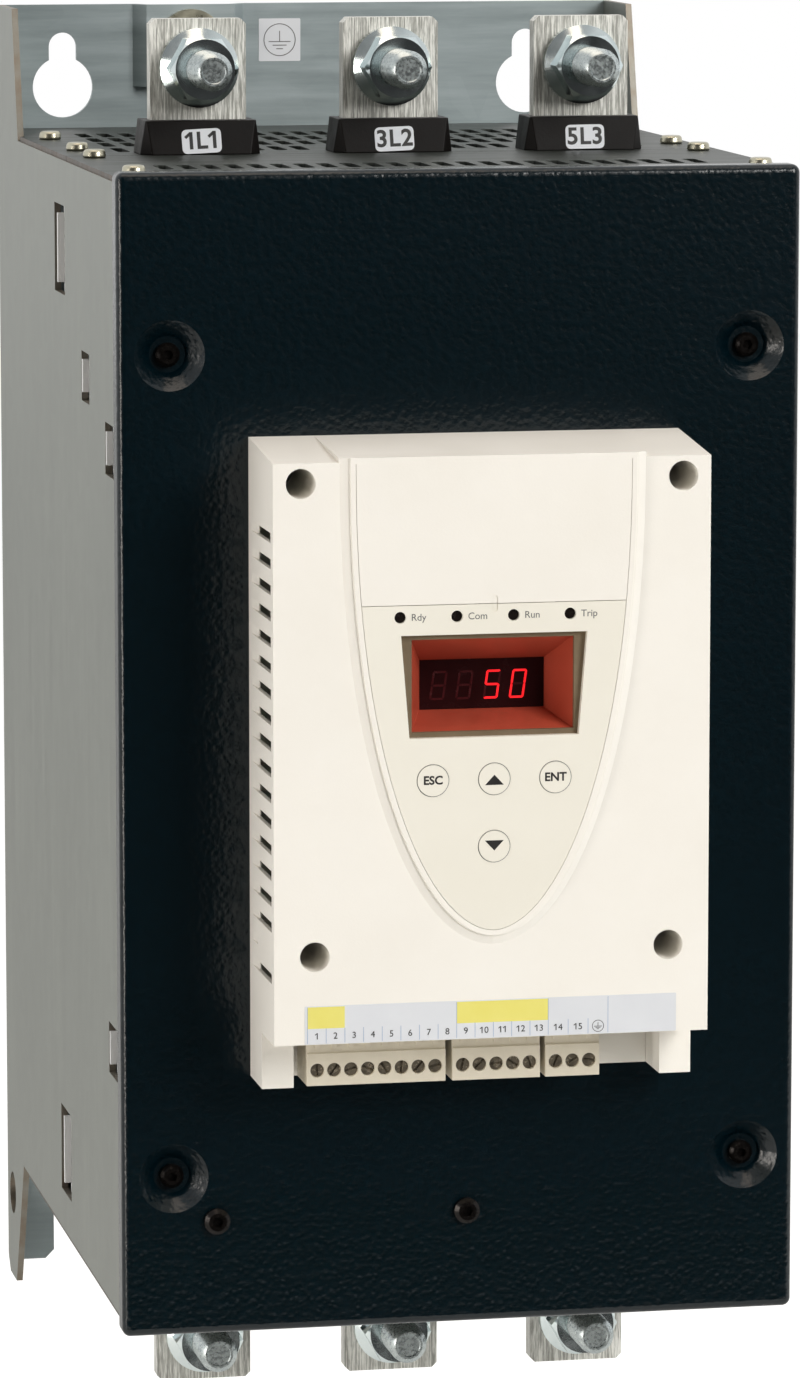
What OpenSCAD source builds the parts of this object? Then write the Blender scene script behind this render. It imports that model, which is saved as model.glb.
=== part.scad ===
// Three-phase motor soft starter, made to be fixed upright on a panel.
// Frame: origin in the middle of the mounting face, +Z up, front towards -Y.
// Depths run forwards from the mounting face, heights run from its middle.

/* [Chassis] */
// Width over the side walls and the cover
body_w = 206; // [202:1:212]
// Height of the back plate with its ears
plate_h = 425; // [422:1:430]
// Height of the lower edge of the side walls
side_bottom = -169; // [-170:0.5:-168]
// Height of the upper edge of the side walls
side_top = 170.5; // [169:0.5:171]
// Thickness of the galvanised chassis sheet
sheet_t = 2; // [1.5:0.5:2.5]
// Thickness of the lighter inner and outer sheets
thin_t = 1.5; // [1:0.25:2]
// Width of the flanges folded in along the side walls
flange_w = 16; // [14:1:18]
// Depth of the upper ear where it leaves the side wall
top_ear_root = 46; // [40:1:50]
// Depth of the upper ear at its tip
top_ear_tip = 34; // [28:1:38]
// Depth of the lower ear where it leaves the side wall
low_ear_root = 40; // [36:1:46]
// Depth of the lower ear at its tip
low_ear_tip = 20; // [16:1:24]
// Radius of the round hole in each lower ear
ear_hole_r = 7; // [5:0.5:8]

/* [Fixing holes] */
// Distance between the keyholes, and between the open slots
fixing_pitch = 156; // [150:1:160]
// Sideways shift of the fixing holes from the middle
fixing_shift = -3.8; // [-6:0.2:2]
// Drop of the round entry of the keyholes from the upper edge
keyhole_z = 27.1; // [24:0.1:29]
// Radius of the round entry of the keyholes
entry_r = 10; // [8:0.5:11]
// Width of the narrow part of the keyholes
keyhole_slot_w = 9.2; // [8:0.2:10]
// Rise from the round entry to the end of the narrow part
keyhole_rise = 13.3; // [12:0.1:15]
// Width of the open slots in the lower edge
open_slot_w = 12; // [10:0.5:13]
// Height of the open slots
open_slot_h = 24; // [20:1:28]

/* [Earthing point] */
// Sideways place of the raised earthing pad
earth_x = -40; // [-44:1:-36]
// Drop of the earthing screw from the upper edge
earth_z = 12.5; // [11:0.5:14]
// How far the pad is pressed forwards
earth_rise = 6; // [4:1:8]

/* [Cover] */
// Depth of the front face of the cover
cover_depth = 256; // [254:1:262]
// Height of the cover
cover_h = 348; // [346:1:350]
// How far the middle of the cover lies below the middle of the plate
cover_drop = 0.5; // [0:0.5:1]
// How far the rim of the cover reaches back
rim_depth = 8; // [6:1:10]
// Radius of the front edges of the cover
cover_edge_r = 2.5; // [2:0.25:3]
// Distance of the dimple screws from the sides of the cover
dimple_x = 15.5; // [14:0.5:19]
// Height of the upper dimple screws
dimple_top_z = 119.8; // [115:0.2:124]
// Height of the lower dimple screws
dimple_low_z = -126.4; // [-130:0.2:-122]
// Radius of a dimple at the face
dimple_r = 10.5; // [9:0.5:11]
// Radius of a dimple at its floor
dimple_floor_r = 5.4; // [5:0.1:6]
// Depth of a dimple
dimple_sink = 5; // [4:0.5:6]
// Sideways places of the two screws on the flat of the cover
flat_screw_x = [-74.6, 1.6];
// Height of the two screws on the flat of the cover
flat_screw_z = -139.8; // [-141:0.2:-139]

/* [Grilles] */
// Depth of the joint between the rear and front plates
joint_depth = 152; // [150:1:154]
// Width of a ventilation slot
vent_w = 4; // [3:0.25:4.5]
// Distance between ventilation slots
vent_pitch = 7.1; // [6.5:0.1:7.2]
// Number of ventilation slots in a row
vent_count = 24; // [16:2:24]
// Length of the slots in the upper plates
vent_len = 20; // [14:1:20]
// Depths of the slot rows in the rear upper plate
top_rows = [46.5, 71.5, 96, 124];
// Depth of the slot row in the front upper plate
front_row = 210; // [190:1:225]
// Length of the slots in the rear lower plate
low_vent_len = 16; // [10:1:16]
// Depths of the slot rows in the rear lower plate
low_rows = [35, 57.5, 80];

/* [Power path] */
// Distance between the three phases
phase_pitch = 60.5; // [58:0.5:61]
// Width of a busbar
bar_w = 30; // [25:1:32]
// Thickness of a busbar
bar_t = 6; // [5:0.5:6]
// Depth of the front face of the busbars
bar_depth = 146; // [144:1:148]
// Height of the upper ends of the line bars
line_end = 213.5; // [212.5:0.5:220]
// Drop of the lower ends of the load bars
load_end = 216.5; // [212.5:0.5:222]
// Distance of a stud from the end of its bar
stud_inset = 15; // [13:0.5:16]
// Diameter of the terminal studs
stud_d = 12; // [10:1:12]
// How far a stud stands out of its bar
stud_reach = 30; // [28:1:42]
// Size of the nuts across their flats
nut_flats = 18.5; // [17:0.5:19]
// Diameter of the flange of the nuts
nut_flange_d = 24.5; // [24:0.5:27]
// Height of the nuts with their flange
nut_h = 14; // [10:0.5:16]

/* [Control module] */
// Sideways place of the middle of the control module
module_x = 0.8; // [0:0.2:1]
// Width of the control module
module_w = 130; // [128:1:132]
// Depth of the control module in front of the cover
module_depth = 41; // [37:1:46]
// Depth of the module's feet in front of the cover
foot_depth = 20; // [18:0.5:22]
// Height of the upper rear edge of the module
module_top = 95.5; // [94:0.5:97]
// Height of the upper front edge of the module
front_top = 91.8; // [91:0.2:92.4]
// Height of the lower edge of the module's front
front_bottom = -79; // [-80:0.5:-78]
// Height of the lower edge of the module's feet
foot_bottom = -96; // [-98:0.5:-95]
// Wall thickness of the housing
wall_t = 2.5; // [2:0.25:3]
// How far the shield stands out of the front face
shield_rise = 2; // [1.5:0.25:2.5]
// Half width of the shield's seam at its upper end
shield_half_w = 41; // [40:0.5:42]
// Height of the shield's seam from end to tip
shield_h = 138; // [130:1:139]
// Height of the line between the upper plate and the keypad
shield_split = 50; // [49:0.5:52]
// Radius of the deep screw holes in the housing
well_r = 4.4; // [4:0.1:4.5]

/* [Keypad and display] */
// Radius of a key
key_r = 4.6; // [4:0.1:5]
// Sideways distance between keys
key_pitch = 18.25; // [17:0.25:19]
// Height of the upper row of keys
key_z = -1.6; // [-3:0.2:0]
// Drop from the upper row to the lower key
key_drop = 19.9; // [18:0.1:21]
// Travel of a key
key_travel = 0.6; // [0.3:0.1:0.8]
// Height of the row of indicator lamps
lamp_z = 46.5; // [45:0.5:47]
// Distance between indicator lamps
lamp_pitch = 16.83; // [15:0.01:17]
// Sideways place of the middle of the lamp row
lamp_shift = -2.7; // [-4:0.1:0]
// Height of the middle of the display window
display_z = 26; // [25:0.5:27]

/* [Terminals] */
// Distance between terminal poles
pole_pitch = 5.08; // [5:0.04:5.08]
// Pole counts of the plug-in terminal blocks, from left to right
pole_counts = [8, 5, 3];
// Sideways places of the terminal blocks in the module
plug_x = [-30.6, 5.7, 28.9];
// Height of the joint between plugs and headers
plug_top = -86; // [-87:0.5:-85]
// Height of the lower face of the plugs
plug_bottom = -95.7; // [-97:0.1:-94]

/* [Hidden] */
$fn = 48;
slack = 0.1;
over = 1;
half_w = body_w / 2;
half_h = plate_h / 2;
entry_level = half_h - keyhole_z;
earth_level = half_h - earth_z;
boot_half_w = bar_w / 2 + 3.8;
web_bottom = -half_h + 3;
side_front = cover_depth - rim_depth;
inner_half_w = half_w - sheet_t;
flange_x = half_w - flange_w;
bar_rear = bar_depth - bar_t;
bar_middle = bar_depth - bar_t / 2;
insulator_t = 4.5;
partition_depth = bar_rear - insulator_t - thin_t;
partition_front = partition_depth + thin_t;
bracket_depth = 185;
bracket_front = bracket_depth + thin_t;
carrier_depth = side_front - 15.5;
carrier_front = carrier_depth + thin_t;
sheet_half_w = inner_half_w - 2 * slack;
flange_gap = [partition_depth, bar_depth];
lip_w = 8;
lip_half_h = 150;
ear_chamfer = 5;
ear_hole_depth = 12.5;
ear_hole_z = -183.9;
slot_lead = 3;
earth_r = 4;
pad_foot = 18.5;
pad_reach = 14.5;
earth_washer = [11, 2];
earth_head = [13, 5.5];
partition_slot = [-5.5, 16.3];
bracket_slot = [-0.8, 15];
carrier_slot = [-1.2, 17];
partition_tab_z = 142.8;
partition_tab_h = 21.5;
partition_slot_h = 27.5;
carrier_tab_z = 90.5;
carrier_tab_h = 10;
carrier_slot_h = 15.6;
bracket_tab_z = 107.7;
bracket_tab_h = 10;
bracket_slot_h = 15.2;
partition_z = [-162, 164];
bracket_low = -132;
bracket_top = 120;
bracket_window = [40, -110, -70];
carrier_z = [-140, 134];
carrier_window = [44, -120, 115];
bracket_foot = [30, 7];
plate_gap = 0.5;
plate_screw_x = half_w - flange_w / 2;
plate_screw_depths = [64, partition_depth - 10, bar_depth + 14, side_front - 10];
plate_screw_r = 1.8;
plate_head_r = 3.7;
screw_r = 2;
screw_room = 0.3;
thread_room = 0.05;
thread_depth = 0.57;
bar_notch = bar_w + 3;
bar_clip = 1.6;
line_low = 18;
load_high = -8;
line_stud_z = line_end - stud_inset;
load_stud_z = -load_end + stud_inset;
stud_r = stud_d / 2;
stud_head_h = 7.5;
boot_h = 10.5;
boot_side = [boot_half_w, boot_half_w - 1.5];
boot_front = [bar_t / 2 + 7, bar_t / 2 + 5.5];
boot_clip = 3.4;
insulator_z = 152;
insulator_half = [bar_w / 2 + 3, 8];
transformer_z = [-140, -122];
transformer_half_w = bar_w / 2 + 6;
transformer_wall = 11;
scr_z = 5;
scr_h = 94;
scr_w = 34;
scr_foot_h = 6;
scr_foot = 12;
scr_hole_z = 40;
scr_pole_z = 25;
scr_pole_r = 3;
scr_pole_sink = 10;
rail_h = 24;
sink_front = partition_depth - rail_h;
sink_base = 12;
sink_rear = 16;
sink_half_h = 115;
sink_screw_r = 2.5;
rail_x = [inner_half_w - 12, inner_half_w - 2];
fin_pitch = 10.5;
fin_t = 2.4;
fins = 2 * floor((rail_x[1] - fin_t) / fin_pitch) + 1;
rail_screw_x = (rail_x[0] + rail_x[1]) / 2;
rail_screw_z = 100;
rail_screw_len = 13;
window_half = [rail_x[0] - 0.5, sink_half_h + 3];
fan_x = 41;
fan_depth = 56;
fan_size = 80;
fan_h = 25;
fan_hole = 71.5;
fan_bore_r = 38;
fan_plate = 3;
fan_floor = side_bottom;
rotor_r = 36.5;
rotor_h = 18;
hub_r = 17;
spindle_r = 2;
spindle_room = 0.08;
firing_depth = bracket_front + 8;
firing_half = [sheet_half_w - 12.8, 70];
board_screw = [firing_half[0] - 8, 60];
board_screw_r = 1.6;
standoff_flats = 6;
pulse_half_w = 10;
pulse_h = 15;
pulse_z = [[20, 38], [-8, 10]];
capacitor_x = 9;
capacitor_half_w = 6;
capacitor_h = 20;
capacitor_z = [-46, -24];
socket_half_w = 25;
socket_h = 9;
socket_z = [54, 62];
board_t = 1.6;
cover_back = cover_depth - thin_t;
module_front = cover_depth + module_depth;
foot_front = cover_depth + foot_depth;
dimple_floor = cover_depth - dimple_sink;
dimple_back = dimple_floor - thin_t;
dimple_skin = 1.2;
strip_t = 3;
strip_x = [flat_screw_x[0] - 4.4, flat_screw_x[1] + 6.4];
strip_z = [flat_screw_z - 7.2, flat_screw_z + 4.3];
cable_half_w = 30;
cable_z = [20, 58];
pillar_flats = 9;
shield_depth = module_front + shield_rise;
shield_top = front_top - 0.3;
shield_steps = 28;
shield_head = 1.8;
shield_foot = 4.6;
shield_crease = [2.1, 1.8];
shield_rim = 1.5;
shield_cove = shield_rise * 0.55;
notch_t = 0.3;
shield_room = 0.15;
base_front = cover_depth + wall_t;
wall_rear = module_front - wall_t;
lip_top = front_bottom + 2;
well_x = [56.8, 52.9];
well_z = [85.9, -53];
well_floor = base_front + 3.5;
pillar_r = well_r + 1.6;
bay_half_w = 55.5;
bay_depth = foot_front + 1;
port_x = [41.5, 56.5];
port_depth = 13;
vent_slots = 18;
vent_step = 7.63;
vent_first = 69.9;
vent_h = 3;
vent_wall = 1.3;
vent_dish = 0.9;
blind_vent = 16;
dish_depths = [cover_depth + 4, cover_depth + 12.6];
vent_depths = [dish_depths[1], module_front - 4];
vent_margin = 2;
board_depth = base_front + 11.5;
board_front = board_depth + board_t;
board_low = -73;
board_half_w = 58;
board_top = 78;
board_post = [46, 3.2];
board_post_z = [-30, 60];
switch_half_w = 3;
relay_x = [-44, -26];
relay_half_w = 7;
relay_h = 15;
relay_z = [-66, -40];
supply_x = [20, 46];
supply_h = 12;
supply_z = [-44, -28];
lens_half = [24.15, 13.6];
digit_half = [18.7, 7.4];
digit_z = display_z - 2;
digit_edge = 1.6;
digit_depth = board_front + 9.4;
window_top_half = 27.7;
window_low_half = 25.2;
window_half_h = 15.15;
bezel_half = [28.4, 16.4];
bezel_back = wall_rear + 1;
funnel_half = [27, 15.5];
lamp_r = 1.6;
key_spots = [[-key_pitch, key_z], [0, key_z], [key_pitch, key_z], [0, key_z - key_drop]];
key_room = 0.15;
key_proud = 0.3;
collar_r = key_r + 1.2;
collar_t = 1;
collar_depth = module_front - slack;
stem_r = 1.6;
switch_top = board_front + 4.4;
plug_rear = base_front + 1.5;
plug_front = foot_front;
plug_end = 1.2;
clamp_z = (plug_top + plug_bottom) / 2 - 0.25;
clamp_r = 2;
clamp_len = 4;
clamp_sink = 0.8;
tongue = [plug_rear + 5, plug_rear + 10];
tongue_h = 5;
tongue_inset = 1.4;

function phase_x(i) = (i - 1) * phase_pitch;
function bar_nearby(x) = min([for (i = [0 : 2]) abs(x - phase_x(i))]) < bar_notch / 2 + vent_w;
function plug_w(i) = pole_counts[i] * pole_pitch + plug_end;
function cavity_top(d) =
  let (rear = cover_depth - over)
  module_top - wall_t + (front_top - module_top) * (d - rear) / (wall_rear - rear);
function pole_x(i, k) = plug_x[i] + (k - (pole_counts[i] - 1) / 2) * pole_pitch;

// The shield narrows in a smooth curve from its upper end to a round tip.
function shield_side(a, b, i) =
  let (t = sin(90 * i / shield_steps)) [a * pow(max(0, 1 - pow(t, 2.2)), 0.53), -b * t];
function shield_outline(a, b) = concat(
  [for (i = [0 : shield_steps]) shield_side(a, b, i)],
  [for (i = [shield_steps - 1 : -1 : 0]) [-shield_side(a, b, i)[0], shield_side(a, b, i)[1]]]
);

// Half of the shield's frame, grown by g and measured from the frame's upper edge.
function shield_lean(i) =
  let (
    p = shield_side(shield_half_w, shield_h, max(i - 0.5, 0)),
    q = shield_side(shield_half_w, shield_h, i + 0.5),
    run = sqrt(pow(q[0] - p[0], 2) + pow(q[1] - p[1], 2))
  ) [(p[1] - q[1]) / run, (q[0] - p[0]) / run];
function frame_side(g, i) =
  let (p = shield_side(shield_half_w, shield_h, i), lean = shield_lean(i))
    [p[0] + g * lean[0], p[1] + g * lean[1] - shield_head];
function frame_outline(g) = concat(
  [[shield_half_w + g, 0]],
  [for (i = [0 : shield_steps - 1]) frame_side(g, i)],
  [[0, -shield_h - g - shield_head]],
  [for (i = [shield_steps - 1 : -1 : 0]) [-frame_side(g, i)[0], frame_side(g, i)[1]]],
  [[-shield_half_w - g, 0]]
);

// A profile seen from the front, pushed forwards from depth d0 to depth d1.
module forward(d0, d1) {
  translate([0, -d0, 0]) rotate([90, 0, 0]) linear_extrude(d1 - d0) children();
}

// A profile of depth and height, pushed along X from x0 to x1.
module sideways(x0, x1) {
  translate([x0, 0, 0]) mirror([0, 1, 0]) rotate([90, 0, 90]) linear_extrude(x1 - x0) children();
}

// A profile of width and depth, pushed up from z0 to z1.
module upward(z0, z1) {
  translate([0, 0, z0]) mirror([0, 1, 0]) linear_extrude(z1 - z0) children();
}

// A box given by its ranges of width, depth and height.
module block(x, d, z) {
  translate([x[0], -d[1], z[0]]) cube([x[1] - x[0], d[1] - d[0], z[1] - z[0]]);
}

// A round bar or cone that points forwards.
module rod(x, z, r, d) {
  translate([x, -d[0], z]) rotate([90, 0, 0]) cylinder(r = r, h = d[1] - d[0]);
}

module cone(x, z, r0, r1, d) {
  translate([x, -d[0], z]) rotate([90, 0, 0]) cylinder(r1 = r0, r2 = r1, h = d[1] - d[0]);
}

// A hexagon bar that points forwards.
module hexagon(x, z, flats, d) {
  translate([x, -d[0], z]) rotate([90, 0, 0]) cylinder(r = flats / sqrt(3), h = d[1] - d[0], $fn = 6);
}

// A round bar that points up.
module post(x, d, r, z) {
  translate([x, -d, z[0]]) cylinder(r = r, h = z[1] - z[0]);
}

module rounded_rectangle(w, h, r) {
  square([w - 2 * r, h], center = true);
  square([w, h - 2 * r], center = true);
  for (x = [-1, 1], z = [-1, 1]) translate([x * (w / 2 - r), z * (h / 2 - r)]) circle(r = r);
}

// Chassis: back plate, and side walls with ears and flanges, folded from one sheet.
module keyhole(x) {
  translate([x, entry_level]) circle(r = entry_r);
  translate([x, entry_level + keyhole_rise]) circle(d = keyhole_slot_w);
  translate([x - keyhole_slot_w / 2, entry_level]) square([keyhole_slot_w, keyhole_rise]);
}

module open_slot(x) {
  half = open_slot_w / 2;
  end_z = web_bottom + open_slot_h - half;
  translate([x, end_z]) circle(r = half);
  translate([x - half, web_bottom - over]) square([open_slot_w, end_z - web_bottom + over]);
  polygon([
    [x - half - slot_lead, web_bottom - slack], [x + half + slot_lead, web_bottom - slack],
    [x + half, web_bottom + slot_lead], [x - half, web_bottom + slot_lead]
  ]);
}

module back_web() {
  forward(0, sheet_t) difference() {
    translate([-inner_half_w, web_bottom]) square([2 * inner_half_w, half_h - web_bottom]);
    for (s = [-1, 1]) keyhole(fixing_shift + s * fixing_pitch / 2);
    for (s = [-1, 1]) open_slot(fixing_shift + s * fixing_pitch / 2);
  }
}

module side_profile() {
  polygon([
    [0, -half_h + ear_chamfer], [ear_chamfer, -half_h], [low_ear_tip, -half_h], [low_ear_root, side_bottom],
    [side_front, side_bottom], [side_front, side_top], [top_ear_root, side_top],
    [top_ear_tip, half_h], [0, half_h]
  ]);
}

module side_wall(s) {
  inner = s * inner_half_w;
  outer = s * half_w;
  edge = s * flange_x;
  lip = s * (half_w - lip_w);
  sideways(min(inner, outer), max(inner, outer)) side_profile();
  for (z = [side_bottom, side_top - sheet_t]) {
    block([min(edge, outer), max(edge, outer)], [top_ear_root, flange_gap[0]], [z, z + sheet_t]);
    block([min(edge, outer), max(edge, outer)], [flange_gap[1], side_front], [z, z + sheet_t]);
  }
  block([min(lip, outer), max(lip, outer)], [side_front - sheet_t, side_front],
    [-lip_half_h, lip_half_h]);
}

module earth_pad(foot, top, d) {
  translate([earth_x, 0]) polygon([[-foot, d[0]], [-top, d[1]], [top, d[1]], [foot, d[0]]]);
}

module tab_slots(d, reach, z, h) {
  root = sheet_half_w - over;
  for (x = [[-half_w - over, -root], [root, half_w + over]])
    block(x, [d + reach[0], d + reach[1]], [z - h / 2, z + h / 2]);
}

module plate_screw_holes(z) {
  for (s = [-1, 1], d = plate_screw_depths) post(s * plate_screw_x, d, plate_screw_r + slack, z);
}

module chassis() {
  pad_low = earth_level - pad_reach;
  color("#a3a79f") difference() {
    union() {
      back_web();
      upward(pad_low, half_h) earth_pad(pad_foot, 14.7, [sheet_t - slack, sheet_t + earth_rise]);
    }
    upward(pad_low + sheet_t, half_h + over) earth_pad(17.3, 13, [-slack, earth_rise]);
    rod(earth_x, earth_level, earth_r + 2 * slack, [0, sheet_t + earth_rise + over]);
  }
}

module chassis_wall(s) {
  color("#a3a79f") difference() {
    side_wall(s);
    for (z = [-1, 1]) tab_slots(partition_depth, partition_slot, z * partition_tab_z, partition_slot_h);
    for (z = [-1, 1]) tab_slots(carrier_depth, carrier_slot, z * carrier_tab_z, carrier_slot_h);
    tab_slots(bracket_depth, bracket_slot, bracket_tab_z, bracket_slot_h);
    translate([-half_w - over, -ear_hole_depth, ear_hole_z]) rotate([0, 90, 0])
      cylinder(r = ear_hole_r, h = body_w + 2 * over);
    plate_screw_holes([side_bottom - over, side_bottom + sheet_t + over]);
    plate_screw_holes([side_top - sheet_t - over, side_top + over]);
  }
}

module chassis_wall_left() chassis_wall(-1);
module chassis_wall_right() chassis_wall(1);

// Slotted plates that close the chassis above and below.
module vent_slot(x, d, len) {
  straight = len - vent_w;
  translate([x - vent_w / 2, d - straight / 2]) square([vent_w, straight]);
  for (s = [-1, 1]) translate([x, d + s * straight / 2]) circle(d = vent_w);
}

module slot_row(d, len, clear_bars = false) {
  for (i = [0 : vent_count - 1]) {
    x = (i - (vent_count - 1) / 2) * vent_pitch;
    clear = abs(x) + vent_w / 2 + plate_head_r < plate_screw_x;
    if (clear && (!clear_bars || !bar_nearby(x))) vent_slot(x, d, len);
  }
}

module rear_plate_outline() {
  notch = 20;
  difference() {
    translate([-half_w + plate_gap, sheet_t])
      square([body_w - 2 * plate_gap, joint_depth - plate_gap - sheet_t]);
    for (s = [-1, 1])
      translate([s * (sheet_half_w + notch / 2), 0]) square([notch, 2 * top_ear_root + 4], center = true);
    for (i = [0 : 2]) translate([phase_x(i) - bar_notch / 2, flange_gap[0]]) square([bar_notch, 40]);
  }
}

module front_plate_outline() {
  translate([-half_w + plate_gap, joint_depth])
    square([body_w - 2 * plate_gap, side_front - slack - joint_depth]);
}

// Room round the earthing point, which reaches the top plate only on a low back plate.
module earth_clearance() {
  front = sheet_t + earth_rise + earth_washer[1] + earth_head[1] + over;
  block([earth_x - pad_foot - over, earth_x + pad_foot + over], [0, front],
    [earth_level - pad_reach - over, half_h]);
}

module rear_top_grille() {
  z = [side_top, side_top + thin_t];
  color("#9a9e96") difference() {
    upward(z[0], z[1]) difference() {
      rear_plate_outline();
      for (i = [0 : 3]) slot_row(top_rows[i], vent_len, i == 3);
    }
    plate_screw_holes([z[0] - over, z[1] + over]);
    earth_clearance();
  }
}

module front_top_plate() {
  z = [side_top, side_top + thin_t];
  color("#9a9e96") difference() {
    upward(z[0], z[1]) difference() {
      front_plate_outline();
      slot_row(front_row, vent_len);
    }
    plate_screw_holes([z[0] - over, z[1] + over]);
  }
}

module fan_screw_places() {
  for (f = [-1, 1], x = [-1, 1], d = [-1, 1])
    translate([f * fan_x + x * fan_hole / 2, -fan_depth + d * fan_hole / 2, 0]) children();
}

module rear_bottom_grille() {
  z = [side_bottom - thin_t, side_bottom];
  color("#9a9e96") difference() {
    upward(z[0], z[1]) difference() {
      rear_plate_outline();
      for (d = low_rows) slot_row(d, low_vent_len);
    }
    plate_screw_holes([z[0] - over, z[1] + over]);
    fan_screw_places() translate([0, 0, z[0] - over]) cylinder(r = screw_r + slack, h = thin_t + 2 * over);
  }
}

module front_bottom_plate() {
  z = [side_bottom - thin_t, side_bottom];
  color("#9a9e96") difference() {
    upward(z[0], z[1]) front_plate_outline();
    plate_screw_holes([z[0] - over, z[1] + over]);
  }
}

// Pan-head screw with its head on the plate at height z, pointing along -up.
module plate_screw(x, d, z, up) {
  head = 2.6;
  shank = 5;
  translate([x, -d, z]) mirror([0, 0, up < 0 ? 1 : 0]) {
    cylinder(r1 = plate_head_r, r2 = plate_head_r - 0.5, h = head);
    translate([0, 0, -shank]) cylinder(r = plate_screw_r, h = shank + slack);
  }
}

module plate_screws() {
  color("#c9cbc6") {
    for (s = [-1, 1], d = plate_screw_depths) {
      plate_screw(s * plate_screw_x, d, side_top + thin_t, 1);
      plate_screw(s * plate_screw_x, d, side_bottom - thin_t, -1);
    }
    fan_screw_places() fan_screw();
  }
}

module fan_screw() {
  head = 2.4;
  reach = 12;
  translate([0, 0, side_bottom - thin_t - head]) cylinder(r = 3.6, h = head);
  translate([0, 0, side_bottom - thin_t - slack]) cylinder(r = screw_r, h = thin_t + reach);
}

// Inner sheets, hung in the side walls by tabs.
module wall_tabs(d, z, h) {
  root = sheet_half_w - over;
  for (x = [[-half_w, -root], [root, half_w]]) block(x, [d, d + thin_t], [z - h / 2, z + h / 2]);
}

module rail_screw_places() {
  for (s = [-1, 1], z = [-1, 1]) translate([s * rail_screw_x, 0, z * rail_screw_z]) children();
}

module scr_screw_places() {
  for (i = [0 : 2], z = [-1, 1]) translate([phase_x(i), 0, scr_z + z * scr_hole_z]) children();
}

module board_screw_places() {
  for (s = [-1, 1], z = [-1, 1]) translate([s * board_screw[0], 0, z * board_screw[1]]) children();
}

module partition() {
  color("#aeb2aa") difference() {
    union() {
      block([-sheet_half_w, sheet_half_w], [partition_depth, partition_front], partition_z);
      for (z = [-1, 1]) wall_tabs(partition_depth, z * partition_tab_z, partition_tab_h);
    }
    block([-window_half[0], window_half[0]], [partition_depth - over, partition_front + over],
      [-window_half[1], window_half[1]]);
    rail_screw_places() rod(0, 0, sink_screw_r + slack, [partition_depth - over, partition_front + over]);
  }
}

module board_bracket() {
  color("#aeb2aa") difference() {
    union() {
      block([-sheet_half_w, sheet_half_w], [bracket_depth, bracket_front], [bracket_low, bracket_top]);
      wall_tabs(bracket_depth, bracket_tab_z, bracket_tab_h);
      for (x = [-bracket_foot[0], bracket_foot[0]])
        block([x - bracket_foot[1], x + bracket_foot[1]], [partition_front, bracket_front],
          [bracket_low, bracket_low + thin_t]);
    }
    board_screw_places() rod(0, 0, board_screw_r, [bracket_depth - over, bracket_front + over]);
    block([-bracket_window[0], bracket_window[0]], [bracket_depth - over, bracket_front + over],
      [bracket_window[1], bracket_window[2]]);
  }
}

module front_carrier() {
  color("#aeb2aa") difference() {
    union() {
      block([-sheet_half_w, sheet_half_w], [carrier_depth, carrier_front], carrier_z);
      for (z = [-1, 1]) wall_tabs(carrier_depth, z * carrier_tab_z, carrier_tab_h);
    }
    block([-carrier_window[0], carrier_window[0]], [carrier_depth - over, carrier_front + over],
      [carrier_window[1], carrier_window[2]]);
    module_screw_places() rod(0, 0, screw_r + screw_room, [carrier_depth - over, carrier_front + over]);
    dimple_places() rod(0, 0, screw_r + screw_room, [carrier_depth - over, carrier_front + over]);
  }
}

module dimple_places() {
  for (s = [-1, 1], z = [dimple_low_z, dimple_top_z]) translate([s * (half_w - dimple_x), 0, z]) children();
}

module module_screw_places() {
  for (s = [-1, 1], k = [0, 1]) translate([module_x + s * well_x[k], 0, well_z[k]]) children();
}

module carrier_pillars() {
  color("#c6c8c2") {
    dimple_places() difference() {
      hexagon(0, 0, pillar_flats, [carrier_front, dimple_back]);
      rod(0, 0, screw_r + thread_room, [carrier_front - over, dimple_back + over]);
    }
    module_screw_places() difference() {
      hexagon(0, 0, pillar_flats, [carrier_front, cover_back]);
      rod(0, 0, screw_r + thread_room, [carrier_front - over, cover_back + over]);
    }
  }
}

// Front cover: a shallow pan with rounded front edges and four dimples.
module cover_pan() {
  r = cover_edge_r;
  front = cover_depth - r;
  flat_w = body_w - 2 * r;
  flat_h = cover_h - 2 * r;
  translate([0, 0, -cover_drop]) difference() {
    union() {
      forward(side_front, front) rounded_rectangle(body_w, cover_h, r);
      forward(front - slack, cover_depth) square([flat_w, flat_h], center = true);
      for (s = [-1, 1]) {
        translate([-flat_w / 2, -front, s * flat_h / 2]) rotate([0, 90, 0]) cylinder(r = r, h = flat_w);
        translate([s * flat_w / 2, -front, -flat_h / 2]) cylinder(r = r, h = flat_h);
      }
      for (x = [-1, 1], z = [-1, 1]) translate([x * flat_w / 2, -front, z * flat_h / 2]) sphere(r = r);
    }
    block([-half_w + thin_t, half_w - thin_t], [side_front - over, cover_back],
      [-cover_h / 2 + thin_t, cover_h / 2 - thin_t]);
  }
}

module front_cover() {
  color("#0e2631") difference() {
    union() {
      cover_pan();
      dimple_places()
        cone(0, 0, dimple_floor_r + dimple_skin, dimple_r + dimple_skin, [dimple_back, cover_back + slack]);
    }
    dimple_places() cone(0, 0, dimple_floor_r, dimple_r, [dimple_floor, cover_depth + 0.001]);
    dimple_places() rod(0, 0, screw_r + 2 * slack, [dimple_back - over, dimple_floor + over]);
    module_screw_places() rod(0, 0, screw_r + screw_room, [cover_back - over, cover_depth + over]);
    for (x = flat_screw_x) rod(x, flat_screw_z, screw_r + slack, [cover_back - over, cover_depth + over]);
    block([-cable_half_w, cable_half_w], [cover_back - over, cover_depth + over], cable_z);
  }
}

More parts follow.
